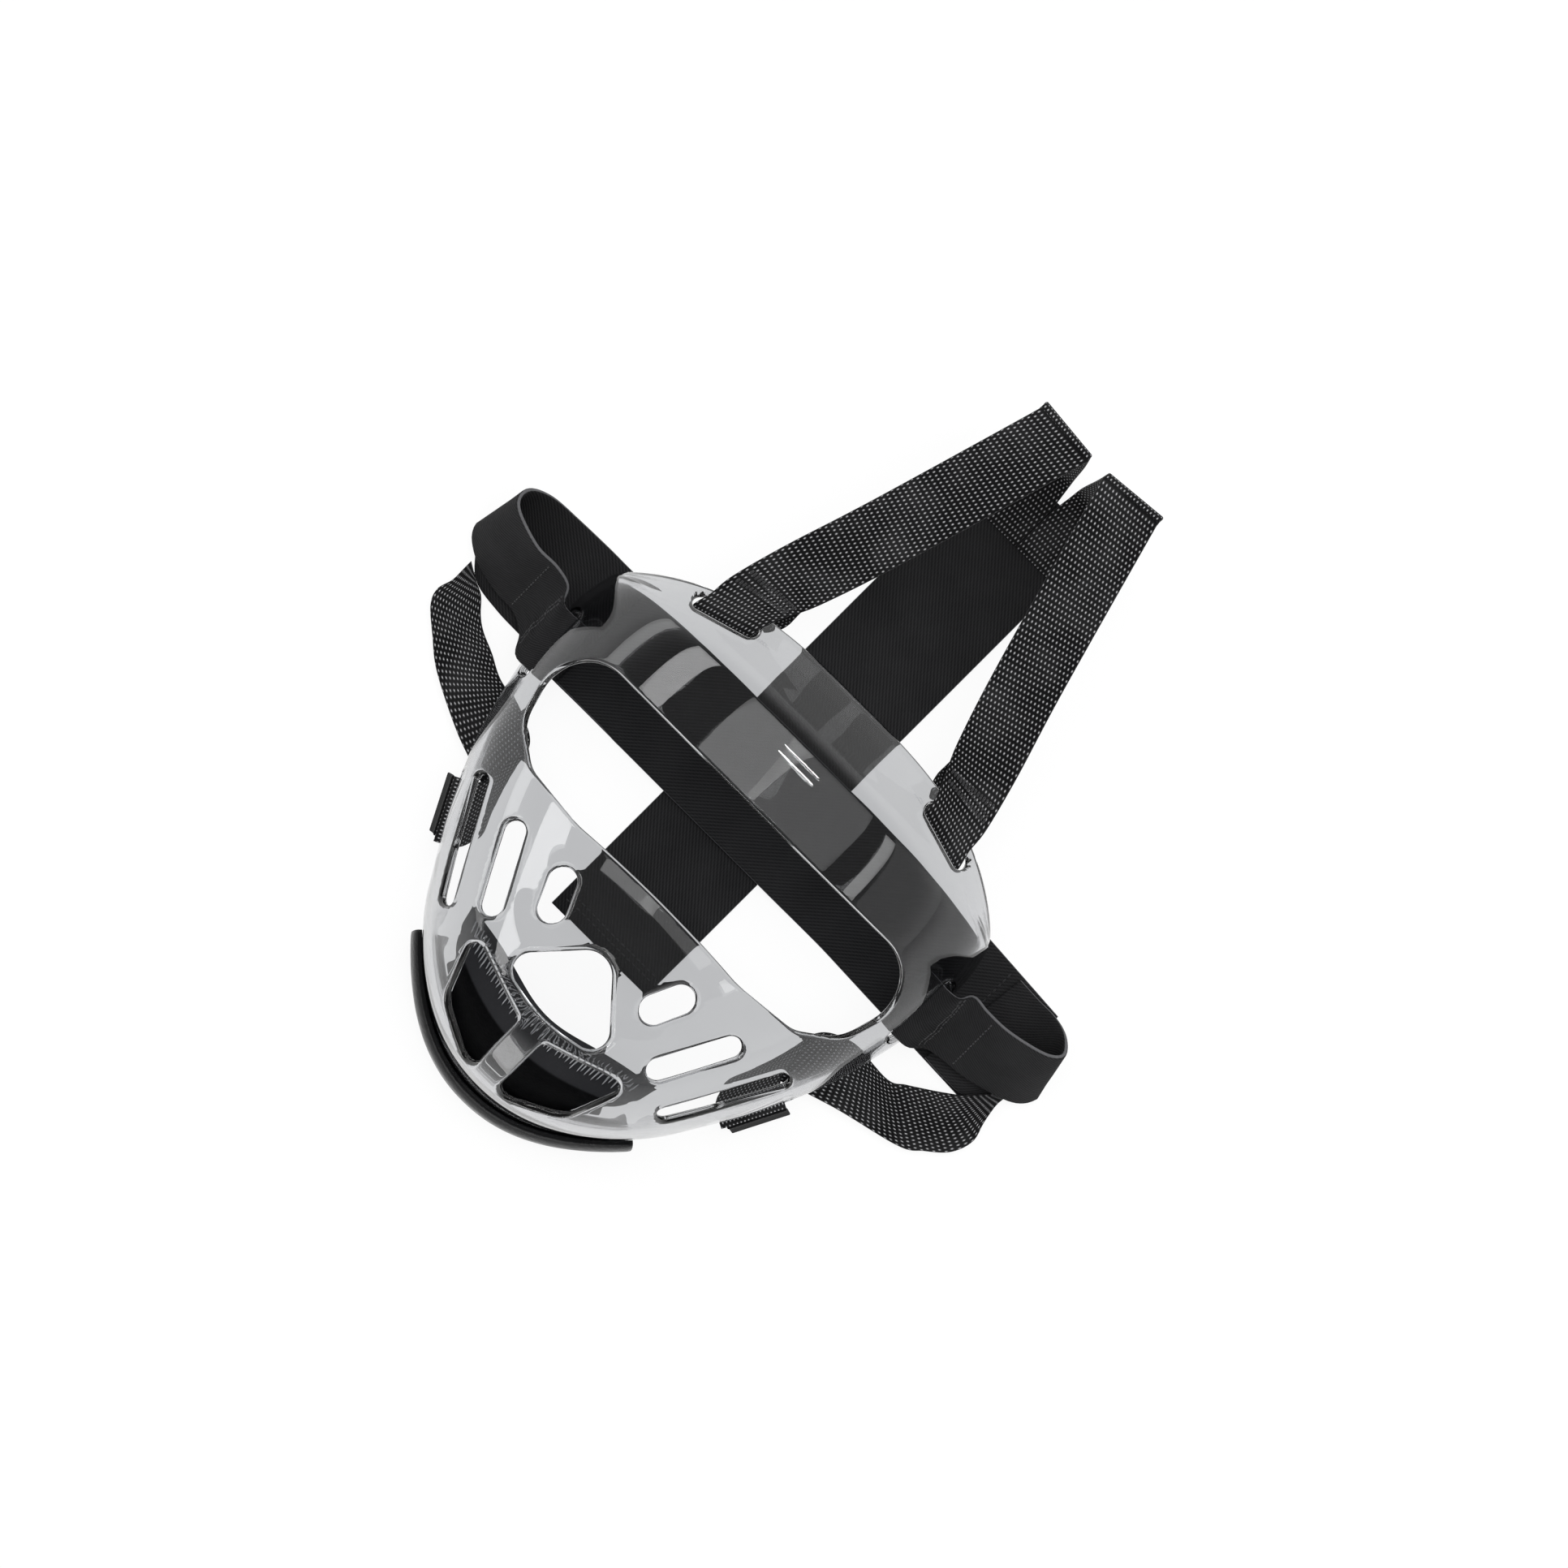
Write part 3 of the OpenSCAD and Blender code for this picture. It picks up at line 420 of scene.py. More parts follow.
def mesh_object(name, points, faces, paint, body="mask"):
    """A mesh from points in metres and lists of equal faces, without unused points, riding on body."""
    loops = np.concatenate([np.asarray(part).ravel() for part in faces])
    used, loops = np.unique(loops, return_inverse=True)
    sizes = np.concatenate([np.full(len(part), np.asarray(part).shape[1]) for part in faces])
    made = bpy.data.meshes.new(name)
    made.vertices.add(len(used))
    made.vertices.foreach_set("co", np.asarray(points, np.float32)[used].ravel())
    made.loops.add(len(loops))
    made.loops.foreach_set("vertex_index", loops.ravel().astype(np.int32))
    made.polygons.add(len(sizes))
    made.polygons.foreach_set("loop_start", np.concatenate([[0], np.cumsum(sizes)[:-1]]).astype(np.int32))
    made.polygons.foreach_set("use_smooth", np.full(len(sizes), True))
    made.update(calc_edges=True)
    made.validate()
    made.materials.append(paint)
    thing = bpy.data.objects.new(name, made)
    bpy.context.collection.objects.link(thing)
    if body:
        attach(thing, body)
    return thing


# Polycarbonate, injection moulded and polished: IOR 1.58, a nearly smooth
# skin with a faint haze and the slow ripple of moulded sheet. Its shadow
# and diffuse rays go straight through, so that no lamp is focused by it.
clear, tree, shader, output = material("clear polycarbonate")
shader.inputs["Base Color"].default_value = srgb("c4c5c7")
shader.inputs["IOR"].default_value = 1.58
shader.inputs["Transmission Weight"].default_value = 1.0
where_on = add(tree, "ShaderNodeTexCoord", (-1100, 0))
haze = add(tree, "ShaderNodeTexNoise", (-900, 0), Scale=22.0, Detail=3.0,
           links={"Vector": where_on.outputs["Object"]})
gloss = add(tree, "ShaderNodeMapRange", (-700, 0), To_Min=0.0, To_Max=0.02, links={"Value": haze.outputs["Fac"]})
tree.links.new(gloss.outputs["Result"], shader.inputs["Roughness"])
flow = add(tree, "ShaderNodeTexNoise", (-900, -300), Scale=38.0, Detail=1.0,
           links={"Vector": where_on.outputs["Object"]})
ripple = add(tree, "ShaderNodeBump", (-500, -300), Strength=0.05, Distance=0.0006,
             links={"Height": flow.outputs["Fac"]})
tree.links.new(ripple.outputs["Normal"], shader.inputs["Normal"])
through = add(tree, "ShaderNodeBsdfTransparent", (-200, -300), Color=srgb("cfd1d3"))
path = add(tree, "ShaderNodeLightPath", (-400, 400))
plain_ray = add(tree, "ShaderNodeMath", (-100, 400), operation="MAXIMUM",
                links={0: path.outputs["Is Shadow Ray"], 1: path.outputs["Is Diffuse Ray"]})
mixed = add(tree, "ShaderNodeMixShader", (200, 0),
            links={0: plain_ray.outputs[0], 1: shader.outputs[0], 2: through.outputs[0]})
tree.links.new(mixed.outputs[0], output.inputs["Surface"])
shell = mesh_object("clear_face_shell", points, faces, clear)
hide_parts("face_shell")


# ---------------------------------------------------------------- moulded grip beads
# A row of small half beads moulded in one with the shell, between the nose
# opening and the mouth openings. The middle six are drawn out upwards.
def bead_row(centres, axes, size, rounds=6, sides=10):
    """Small ellipsoids: for each centre, axes (three unit rows) times size times a unit sphere's grid."""
    polar = np.linspace(0, np.pi, rounds + 1)[1:-1]
    turn = np.linspace(0, 2 * np.pi, sides, endpoint=False)
    ball = np.stack([np.outer(np.sin(polar), np.cos(turn)), np.outer(np.sin(polar), np.sin(turn)),
                     np.outer(np.cos(polar), np.ones(sides))], -1).reshape(-1, 3)
    ball = np.concatenate([ball, [[0, 0, 1], [0, 0, -1]]]) * size
    n = len(ball)
    k = np.arange(rounds - 2)[:, None] * sides
    j = np.arange(sides)[None]
    ring = np.stack([k + j, k + sides + j, k + sides + (j + 1) % sides, k + (j + 1) % sides], -1).reshape(-1, 4)
    j = np.arange(sides)
    top = np.stack([np.full(sides, n - 2), j, (j + 1) % sides], 1)
    low = (rounds - 2) * sides
    foot = np.stack([np.full(sides, n - 1), low + (j + 1) % sides, low + j], 1)
    points = np.einsum("ni,bij->bnj", ball, axes) + np.asarray(centres)[:, None]
    shift = (np.arange(len(centres)) * n)[:, None, None]
    return points.reshape(-1, 3), [(part[None] + shift).reshape(-1, part.shape[1]) for part in (ring, top, foot)]


BEAD_REACH = 34.0
bead_x = np.concatenate([np.linspace(-BEAD_REACH, -9, 12), np.linspace(-6, 6, 6), np.linspace(9, BEAD_REACH, 12)])
bead_y = -109.2 + 7.4 * (bead_x / BEAD_REACH) ** 2
bead_u, bead_v = bead_x / 105.0, np.full(30, 7.0)
for _ in range(12):
    spot = face(bead_u, bead_v)
    bead_u = bead_u + (bead_x - spot[:, 0]) / 115.0
    bead_v = bead_v + (spot[:, 1] - bead_y) / 24.0
bead_up = outward(bead_u, bead_v)
bead_run = unit(np.gradient(face(bead_u, bead_v), axis=0))
bead_axes = np.stack([bead_run, np.cross(bead_up, bead_run), bead_up], 1)
bead_axes[:, 1] *= np.where(np.abs(bead_x) < 7, 2.3, 1.0)[:, None]
points, faces = bead_row(face(bead_u, bead_v) / 1000, bead_axes, np.array([0.45, 1.05, 0.35]) / 1000)
mesh_object("moulded_grip_beads", points, faces, clear)


# ---------------------------------------------------------------- chin edge guard
# A black PVC channel pushed on the chin rim, glossy as it was extruded,
# slightly pebbled, and cut square at both ends.
GUARD_SPAN, GUARD_SIDE, GUARD_GRIP, GUARD_FOOT, SLACK = 106.0, 4.4, 15.0, 3.5, 0.45


def rim_u(x):
    """u of the chin rim at x: asin of |x| over the half width to the power p/2, over 90 degrees."""
    s = stations[-1]
    return np.sign(x) * np.arcsin((np.abs(x) / s[2]) ** (s[5] / 2)) / (np.pi / 2)


def rim_normal(u):
    """Direction out of the wall at the chin rim, taken from just above it."""
    return outward(u, np.full(np.shape(u), LAST - 0.4))


channel = along([[SLACK, GUARD_GRIP + 0.1], [2.1, GUARD_GRIP], [3.6, GUARD_GRIP * 0.88], [4.7, GUARD_GRIP * 0.65],
                 [4.9, GUARD_GRIP * 0.35], [4.7, 0], [3.4, -2.2], [1.2, -3.3], [-1.5, -GUARD_FOOT], [-3.7, -3.2],
                 [-5.5, -1.8], [-6.1, 0.4], [-6.1, 3.5], [-5.6, 6.6], [-4.6, 8.6], [-WALL - SLACK, 9.2]],
                np.linspace(0, 15, 71))
groove = along([[SLACK, GUARD_GRIP + 0.1], [SLACK, 5], [SLACK, -SLACK], [-1.5, -SLACK], [-WALL - SLACK, -SLACK],
                [-WALL - SLACK, 4], [-WALL - SLACK, 9.2]], np.linspace(0, 6, 71))
steps = 150
u = rim_u(np.linspace(-GUARD_SPAN / 2, GUARD_SPAN / 2, steps))
rim = face(u, np.full(steps, LAST))
n = rim_normal(u)
up = unit(face(u, np.full(steps, LAST - 0.12)) - rim)
ends = np.minimum(np.arange(steps), np.arange(steps)[::-1])
shrink = np.where(ends == 0, 0.93, np.where(ends == 1, 0.985, 1.0))[:, None, None]
core = (channel + groove) / 2
profile = np.concatenate([channel, groove[-2:0:-1]])
middle_line = np.concatenate([core, core[-2:0:-1]])
profile = middle_line + (profile - middle_line) * shrink
taller = 1 + 0.45 * np.linspace(-1, 1, steps) ** 2
profile[..., 1] *= np.where(profile[..., 1] > 0, taller[:, None], 1.0)
points = rim[:, None] + profile[..., :1] * n[:, None] + profile[..., 1:] * up[:, None]
m = profile.shape[1]
k, i = np.meshgrid(np.arange(steps - 1) * m, np.arange(m), indexing="ij")
sides = np.stack([k + i, k + (i + 1) % m, k + m + (i + 1) % m, k + m + i], -1).reshape(-1, 4)
i = np.arange(70)
inner_at = np.concatenate([[0], np.arange(m - 1, 70, -1), [70]])
cap = np.stack([i, inner_at[i], inner_at[i + 1], i + 1], 1)
far = (steps - 1) * m
guard_faces = [sides, cap, (cap + far)[:, ::-1]]
flat = points.reshape(-1, 3)
first = flat[sides[:, 0]]
if np.einsum("ij,ij->", first - flat.mean(0), np.cross(flat[sides[:, 1]] - first, flat[sides[:, 3]] - first)) < 0:
    guard_faces = [part[:, ::-1] for part in guard_faces]

# Plasticised PVC as extruded: black, with a fine pebble, dust that dulls its gloss
# in patches, and a painted highlight of faint pale streaks on the middle of its crest.
rubber, tree, shader, output = material("glossy black PVC trim")
where_on = add(tree, "ShaderNodeTexCoord", (-1100, 0))
pebble = add(tree, "ShaderNodeTexNoise", (-900, -200), Scale=420.0, Detail=2.0,
             links={"Vector": where_on.outputs["Object"]})
dust = add(tree, "ShaderNodeTexNoise", (-900, 100), Scale=90.0, Detail=4.0,
           links={"Vector": where_on.outputs["Object"]})
tone = add(tree, "ShaderNodeMix", (-500, 200), data_type="RGBA", links={"Factor": dust.outputs["Fac"]})
tone.inputs[6].default_value, tone.inputs[7].default_value = srgb("0a0a0b"), srgb("171718")
place = add(tree, "ShaderNodeSeparateXYZ", (-1100, 700), links={0: where_on.outputs["Object"]})
from_middle = add(tree, "ShaderNodeMath", (-900, 700), operation="ABSOLUTE", links={0: place.outputs["X"]})
middle_part = add(tree, "ShaderNodeMapRange", (-700, 700), From_Min=0.024, From_Max=0.01,
                  links={"Value": from_middle.outputs[0]})
# Painted highlight: pale streaks in the base colour, full within 10 mm of the middle and gone by 24 mm, and fading out
# 4.2 mm above and below the crest height.
CREST_Z, CREST_HALF = 0.0125, 0.0042
off_crest = add(tree, "ShaderNodeMath", (-900, 900), operation="SUBTRACT", i1=CREST_Z, links={0: place.outputs["Z"]})
off_crest = add(tree, "ShaderNodeMath", (-800, 900), operation="ABSOLUTE", links={0: off_crest.outputs[0]})
crest = add(tree, "ShaderNodeMapRange", (-700, 900), From_Min=CREST_HALF, From_Max=0.0,
            links={"Value": off_crest.outputs[0]})
drawn_out = add(tree, "ShaderNodeMapping", (-1000, 1100), Scale=(0.3, 1.0, 1.6),
                links={"Vector": where_on.outputs["Object"]})
streak_noise = add(tree, "ShaderNodeTexNoise", (-900, 1100), Scale=2400.0, Detail=3.0,
              links={"Vector": drawn_out.outputs["Vector"]})
highlight_streaks = add(tree, "ShaderNodeMapRange", (-700, 1100), From_Min=0.5, From_Max=0.7,
              links={"Value": streak_noise.outputs["Fac"]})
highlight_zone = add(tree, "ShaderNodeMath", (-500, 800), operation="MULTIPLY",
                 links={0: middle_part.outputs[0], 1: crest.outputs[0]})
painted_highlight_mask = add(tree, "ShaderNodeMath", (-400, 900), operation="MULTIPLY",
           links={0: highlight_zone.outputs[0], 1: highlight_streaks.outputs[0]})
# Painted highlight: where the mask is high, the base colour goes to pale grey 444446.
painted_highlight_mix = add(tree, "ShaderNodeMix", (-250, 300), data_type="RGBA", links={"Factor": painted_highlight_mask.outputs[0]})
tree.links.new(tone.outputs[2], painted_highlight_mix.inputs[6])
painted_highlight_mix.inputs[7].default_value = srgb("444446")
tree.links.new(painted_highlight_mix.outputs[2], shader.inputs["Base Color"])
gloss = add(tree, "ShaderNodeMapRange", (-600, 0), To_Min=0.16, To_Max=0.4, links={"Value": dust.outputs["Fac"]})
tree.links.new(gloss.outputs["Result"], shader.inputs["Roughness"])
shader.inputs["Specular IOR Level"].default_value = 0.14
relief = add(tree, "ShaderNodeBump", (-400, -250), Strength=0.5, Distance=0.0004,
             links={"Height": pebble.outputs["Fac"]})
tree.links.new(relief.outputs["Normal"], shader.inputs["Normal"])
guard = mesh_object("chin_edge_trim", points.reshape(-1, 3) / 1000, guard_faces, rubber)
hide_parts("chin_edge_guard")


# ---------------------------------------------------------------- chin pad
# A cup of black closed-cell foam inside the chin, its free edge whipped
# with thread and folded over behind the mouth openings.
def slab(mid, thick, swell=None):
    """A soft sheet round a grid of middle points: half thickness t/2 sqrt(1-(1-d/(t/2))^2), d from its border.
    Returns points, faces, the two grids of numbers of its faces, and its normals."""
    rows, cols = mid.shape[:2]
    n = unit(np.cross(np.gradient(mid, axis=1), np.gradient(mid, axis=0)))
    run = np.concatenate([np.zeros((rows, 1)), np.cumsum(np.linalg.norm(np.diff(mid, axis=1), axis=2), axis=1)], 1)
    fall = np.concatenate([np.zeros((1, cols)), np.cumsum(np.linalg.norm(np.diff(mid, axis=0), axis=2), axis=0)], 0)
    d = np.minimum(np.minimum(run, run[:, -1:] - run), np.minimum(fall, fall[-1:] - fall))
    h = thick / 2 * np.sqrt(1 - (1 - np.clip(d / (thick / 2), 0, 1)) ** 2)
    lift = 0 if swell is None else swell * np.clip(d / (2 * thick), 0, 1)
    top, low = mid + (h + lift)[..., None] * n, mid - h[..., None] * n
    at = np.arange(rows * cols).reshape(rows, cols)
    inside = np.zeros((rows, cols), bool)
    inside[1:-1, 1:-1] = True
    under = np.where(inside, at + rows * cols, at)

    def cells(g):
        """The four corners of each cell of a grid of numbers."""
        return np.stack([g[:-1, :-1], g[:-1, 1:], g[1:, 1:], g[1:, :-1]], -1).reshape(-1, 4)

    return np.concatenate([top.reshape(-1, 3), low.reshape(-1, 3)]), [cells(at), cells(under)[:, ::-1]], n


def border_steps(length, thick, pitch):
    """Stops along a length: bunched within the round of each border and pitch apart between."""
    round_part = thick / 2 * (1 - np.cos(np.radians([0, 25, 50, 70, 90])))
    inner_part = np.linspace(thick / 2, length - thick / 2, max(int((length - thick) / pitch), 2) + 1)[1:-1]
    return np.concatenate([round_part, inner_part, length - round_part[::-1]])


def pad_front(k, t):
    """Front face of the pad: k from side to side, -1 to 1, and t from the rim, 0, to the free edge, 1. The free
    edge lies 8 mm lower in the middle, along a bell curve in plan: the exponential of minus (1.96 k) squared."""
    u = rim_u(k * 48.0)
    start = face(u, np.full(np.shape(u), LAST)) - (WALL + GUARD_SIDE) * rim_normal(u) + [0, 0, GUARD_GRIP / 4]
    low_v = np.full(np.shape(u), LAST - 0.9)
    low = face(u, low_v) - (WALL + GUARD_SIDE + 3) * outward(u, low_v)
    edge = np.stack([k * 49.0, -102.7 - 8 * np.exp(-(k * 1.96) ** 2), 41.0 - 5 * k * k], -1)
    bend = np.stack([k * 45.0, -127.5 + 14 * k * k, 44.0 - 4 * k * k], -1)
    stops = np.stack([start, low, bend, edge])
    return along(stops.reshape(4, -1), np.atleast_1d(3 * t)).reshape((-1,) + start.shape)


PAD_T, PAD_REACH, PAD_FALL, SEAM_AT, PAD_HALF = 4.0, 110.0, 54.0, 15.5, 49.0
ks = 0.98 * (border_steps(PAD_REACH, PAD_T, 1.8) / (PAD_REACH / 2) - 1)
ts = 1 - border_steps(PAD_FALL, PAD_T, 1.5) / PAD_FALL
front = pad_front(ks, ts)
sheet_n = unit(np.cross(np.gradient(front, axis=1), np.gradient(front, axis=0)))
if sheet_n[:, :, 2].mean() < 0:
    sheet_n = -sheet_n
from_edge = (1 - ts[:, None]) * PAD_FALL + 0 * ks[None]
welt = 1.1 * np.exp(-((from_edge - SEAM_AT) / 1.1) ** 2) + 0.7 / (1 + np.exp((from_edge - SEAM_AT + 0.5) / 0.6))
dents = 0.5 * np.sin(ks[None] * 9 + 1.7) * np.sin(from_edge / 7.5)
points, faces, _ = slab(front - (PAD_T / 2) * sheet_n, PAD_T, welt + dents)
# Closed-cell foam, cut and turned: near black and dull, with fine cells, and
# a dark grey lining on the flap outside the seam.
foam, tree, shader, output = material("black closed-cell foam")
where_on = add(tree, "ShaderNodeTexCoord", (-1100, 0))
cell = add(tree, "ShaderNodeTexVoronoi", (-900, -200), Scale=900.0, links={"Vector": where_on.outputs["Object"]})
blotch = add(tree, "ShaderNodeTexNoise", (-900, 100), Scale=60.0, Detail=4.0,
             links={"Vector": where_on.outputs["Object"]})
tone = add(tree, "ShaderNodeMix", (-500, 200), data_type="RGBA", links={"Factor": blotch.outputs["Fac"]})
tone.inputs[6].default_value, tone.inputs[7].default_value = srgb("030304"), srgb("0c0c0d")
lining = add(tree, "ShaderNodeUVMap", (-1500, 500), uv_map="cloth")
from_seam = add(tree, "ShaderNodeSeparateXYZ", (-1300, 500), links={0: lining.outputs[0]})
on_flap = add(tree, "ShaderNodeMapRange", (-1100, 500), From_Min=SEAM_AT + 1, From_Max=SEAM_AT,
              links={"Value": from_seam.outputs["Y"]})
cover = add(tree, "ShaderNodeMix", (-300, 300), data_type="RGBA", links={"Factor": on_flap.outputs["Result"]})
cover.inputs[7].default_value = srgb("2c2c2e")
tree.links.new(tone.outputs[2], cover.inputs[6])
tree.links.new(cover.outputs[2], shader.inputs["Base Color"])
shader.inputs["Roughness"].default_value = 0.8
shader.inputs["Specular IOR Level"].default_value = 0.06
relief = add(tree, "ShaderNodeBump", (-400, -250), Strength=0.4, Distance=0.0003,
             links={"Height": cell.outputs["Distance"]})
tree.links.new(relief.outputs["Normal"], shader.inputs["Normal"])


def lay_uv(thing, faces, uv, name="cloth"):
    """Gives a mesh made from these faces a UV map: one pair of millimetres for each of its points."""
    layer = thing.data.uv_layers.new(name=name)
    loops = np.empty(len(thing.data.loops), np.int32)
    thing.data.loops.foreach_get("vertex_index", loops)
    used = np.unique(np.concatenate([part.ravel() for part in faces]))
    layer.data.foreach_set("uv", uv[used][loops].astype(np.float32).ravel())


pad = mesh_object("chin_cup_pad", points / 1000, faces, foam)
uv = np.stack([ks[None] * PAD_HALF + 0 * from_edge, from_edge], -1).reshape(-1, 2)
lay_uv(pad, faces, np.concatenate([uv, uv]))
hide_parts("chin_pad")


def spun_thread(name, dark, light, roughness):
    """A material for spun thread: dark to light along a wave of its twist, about 0.5 mm long."""
    made, tree, shader, output = material(name)
    where_on = add(tree, "ShaderNodeTexCoord", (-1100, 0))
    twist = add(tree, "ShaderNodeTexWave", (-900, 0), Scale=600.0, Distortion=1.0,
                links={"Vector": where_on.outputs["Object"]})
    tone = add(tree, "ShaderNodeMix", (-500, 200), data_type="RGBA", links={"Factor": twist.outputs["Fac"]})
    tone.inputs[6].default_value, tone.inputs[7].default_value = srgb(dark), srgb(light)
    tree.links.new(tone.outputs[2], shader.inputs["Base Color"])
    shader.inputs["Roughness"].default_value = roughness
    return made


# Spun polyester: the grey twist shows light and dark, and is a little glossy.
thread = spun_thread("grey polyester thread", "6e6e70", "b9b9bb", 0.5)
chance = np.random.default_rng(7)
whip_x = np.arange(-43.0, 43.5, 1.7)
count = len(whip_x)
whip_top = np.clip(chance.normal(2.6, 0.7, count), 1.2, 4.5)
whip_foot = np.clip(chance.normal(9.6, 0.9, count), 7.5, 11.5)
lean = chance.normal(0.6, 0.5, count)
ends_at = []
for x_at, d_at in ((whip_x, whip_top), (whip_x + lean, whip_foot)):
    spot = np.stack([pad_front(np.array([x / PAD_HALF]), np.array([1 - d / PAD_FALL])).reshape(3)
                     for x, d in zip(x_at, d_at)])
    ends_at.append(spot + [0, -0.1, 0.9])
whip_run = ends_at[1] - ends_at[0]
whip_len = np.linalg.norm(whip_run, axis=1)
whip_run = whip_run / whip_len[:, None]
whip_side = unit(np.cross(whip_run, [0.0, 0.0, 1.0]))
whip_axes = np.stack([whip_run * whip_len[:, None] / 2, whip_side * 0.3, np.cross(whip_side, whip_run) * 0.45], 1)
points, faces = bead_row((ends_at[0] + ends_at[1]) / 2000, whip_axes, 0.001)
mesh_object("chin_pad_whip_stitches", points, faces, thread)


# ---------------------------------------------------------------- elastic straps
# Flat 50 mm knitted elastic, dull black with a fine diagonal rib: the
# crown strap on the table, the back strap over it, and the temple straps.
def pair(middle, across, width):
    """Two edge points, half the width each way from the middle along the unit direction across."""
    half_way = width / 2 * np.asarray(across, float)
    return [np.asarray(middle, float) + half_way, np.asarray(middle, float) - half_way]


def ribbon(name, pairs, thick, paint, body="mask", pitch=1.5, wave=None):
    """A woven or knitted band: Catmull-Rom runs through both rows of edge points, straight across between them,
    wave(s, w) mm off its own face, s along and w across in mm. Its UV map is (w, s) in mm."""
    pairs = np.array(pairs, float)
    fine = np.linspace(0, len(pairs) - 1, 60 * len(pairs))
    middle = along(pairs.mean(1), fine)
    length = np.concatenate([[0], np.cumsum(np.linalg.norm(np.diff(middle, axis=0), axis=1))])
    stops = border_steps(length[-1], thick, pitch)
    v = np.interp(stops, length, fine)
    width = np.linalg.norm(pairs[:, 0] - pairs[:, 1], axis=1).max()
    w = border_steps(width, thick, 2.0)
    a, b = along(pairs[:, 0], v), along(pairs[:, 1], v)
    mid = a[:, None] + (b - a)[:, None] * (w / width)[None, :, None]
    s_grid, w_grid = np.meshgrid(stops, w, indexing="ij")
    if wave is not None:
        n = unit(np.cross(np.gradient(mid, axis=1), np.gradient(mid, axis=0)))
        mid = mid + wave(s_grid, w_grid, length[-1])[..., None] * n
    points, faces, n = slab(mid, thick)
    thing = mesh_object(name, points / 1000, faces, paint, body)
    uv = np.stack([w_grid, s_grid], -1).reshape(-1, 2)
    lay_uv(thing, faces, np.concatenate([uv, uv]))
    rim = np.minimum(uv, [width, length[-1]] - uv)
    lay_uv(thing, faces, np.concatenate([rim, rim]), "rim")
    return thing, dict(mid=mid, n=n, s=stops, w=w, thick=thick)


def fabric(name, dark, light, height, base_rough, fuzz, edge_highlight_tone):
    """A cloth material whose colour runs from dark to light with the pattern that height(tree, uv) returns,
    with lint and wear that shift it by up to fuzz, and a painted edge highlight: its own colour within 0.3 mm of its
    sides."""
    made, tree, shader, output = material(name)
    uv = add(tree, "ShaderNodeUVMap", (-1600, 0), uv_map="cloth")
    axes = add(tree, "ShaderNodeSeparateXYZ", (-1400, 0), links={0: uv.outputs[0]})
    pattern = height(tree, axes)
    place = add(tree, "ShaderNodeTexCoord", (-1600, 400))
    wear = add(tree, "ShaderNodeTexNoise", (-1400, 400), Scale=55.0, Detail=5.0,
               links={"Vector": place.outputs["Object"]})
    lint = add(tree, "ShaderNodeMath", (-900, 300), operation="MULTIPLY_ADD", i1=fuzz, i2=-0.45 * fuzz,
               links={0: wear.outputs["Fac"]})
    mix_at = add(tree, "ShaderNodeMath", (-700, 200), operation="ADD", use_clamp=True,
                 links={0: pattern, 1: lint.outputs[0]})
    tone = add(tree, "ShaderNodeMix", (-500, 200), data_type="RGBA", links={"Factor": mix_at.outputs[0]})
    tone.inputs[6].default_value, tone.inputs[7].default_value = srgb(dark), srgb(light)
    rim = add(tree, "ShaderNodeUVMap", (-1400, 700), uv_map="rim")
    side = add(tree, "ShaderNodeSeparateXYZ", (-1200, 700), links={0: rim.outputs[0]})
    # Painted highlight: within 0.3 mm of the sides the colour goes to edge_highlight_tone, for the light on the rounded
    # edges.
    edge_band = add(tree, "ShaderNodeMapRange", (-1000, 700), From_Min=0.32, From_Max=0.12,
              links={"Value": side.outputs["X"]})
    edge_highlight_mix = add(tree, "ShaderNodeMix", (-300, 300), data_type="RGBA", links={"Factor": edge_band.outputs["Result"]})
    tree.links.new(tone.outputs[2], edge_highlight_mix.inputs[6])
    edge_highlight_mix.inputs[7].default_value = srgb(edge_highlight_tone)
    tree.links.new(edge_highlight_mix.outputs[2], shader.inputs["Base Color"])
    shader.inputs["Roughness"].default_value = base_rough
    shader.inputs["Specular IOR Level"].default_value = 0.08
    relief = add(tree, "ShaderNodeBump", (-400, -250), Strength=0.6, Distance=0.0003, links={"Height": pattern})
    tree.links.new(relief.outputs["Normal"], shader.inputs["Normal"])
    return made


def ridges(tree, distance, step, where, wave="COSINE"):
    """Ridges step mm apart along a distance in mm: the cosine, or the sine, of 2 pi times distance over step."""
    turn = add(tree, "ShaderNodeMath", where, operation="MULTIPLY", i1=2 * math.pi / step, links={0: distance})
    height = add(tree, "ShaderNodeMath", (where[0] + 100, where[1]), operation=wave, links={0: turn.outputs[0]})
    return height.outputs[0]


def knit(tree, axes):
    """Height of a rib knit: 0.25 of a diagonal sine with 1.25 mm between its ribs plus 0.35 of a sine of 0.9 mm
    across the width, and 0.4. Both are coarser than real elastic's, so that they show."""
    slope = add(tree, "ShaderNodeMath", (-1200, 0), operation="MULTIPLY_ADD", i1=1.15,
                links={0: axes.outputs["X"], 2: axes.outputs["Y"]})
    rib = ridges(tree, slope.outputs[0], 1.9, (-1050, 0), "SINE")
    loop = ridges(tree, axes.outputs["X"], 0.9, (-1050, -150), "SINE")
    both = add(tree, "ShaderNodeMath", (-850, -50), operation="MULTIPLY_ADD", i1=0.35, links={0: loop, 2: rib})
    return add(tree, "ShaderNodeMath", (-750, -50), operation="MULTIPLY_ADD", i1=0.25, i2=0.4,
               links={0: both.outputs[0]}).outputs[0]


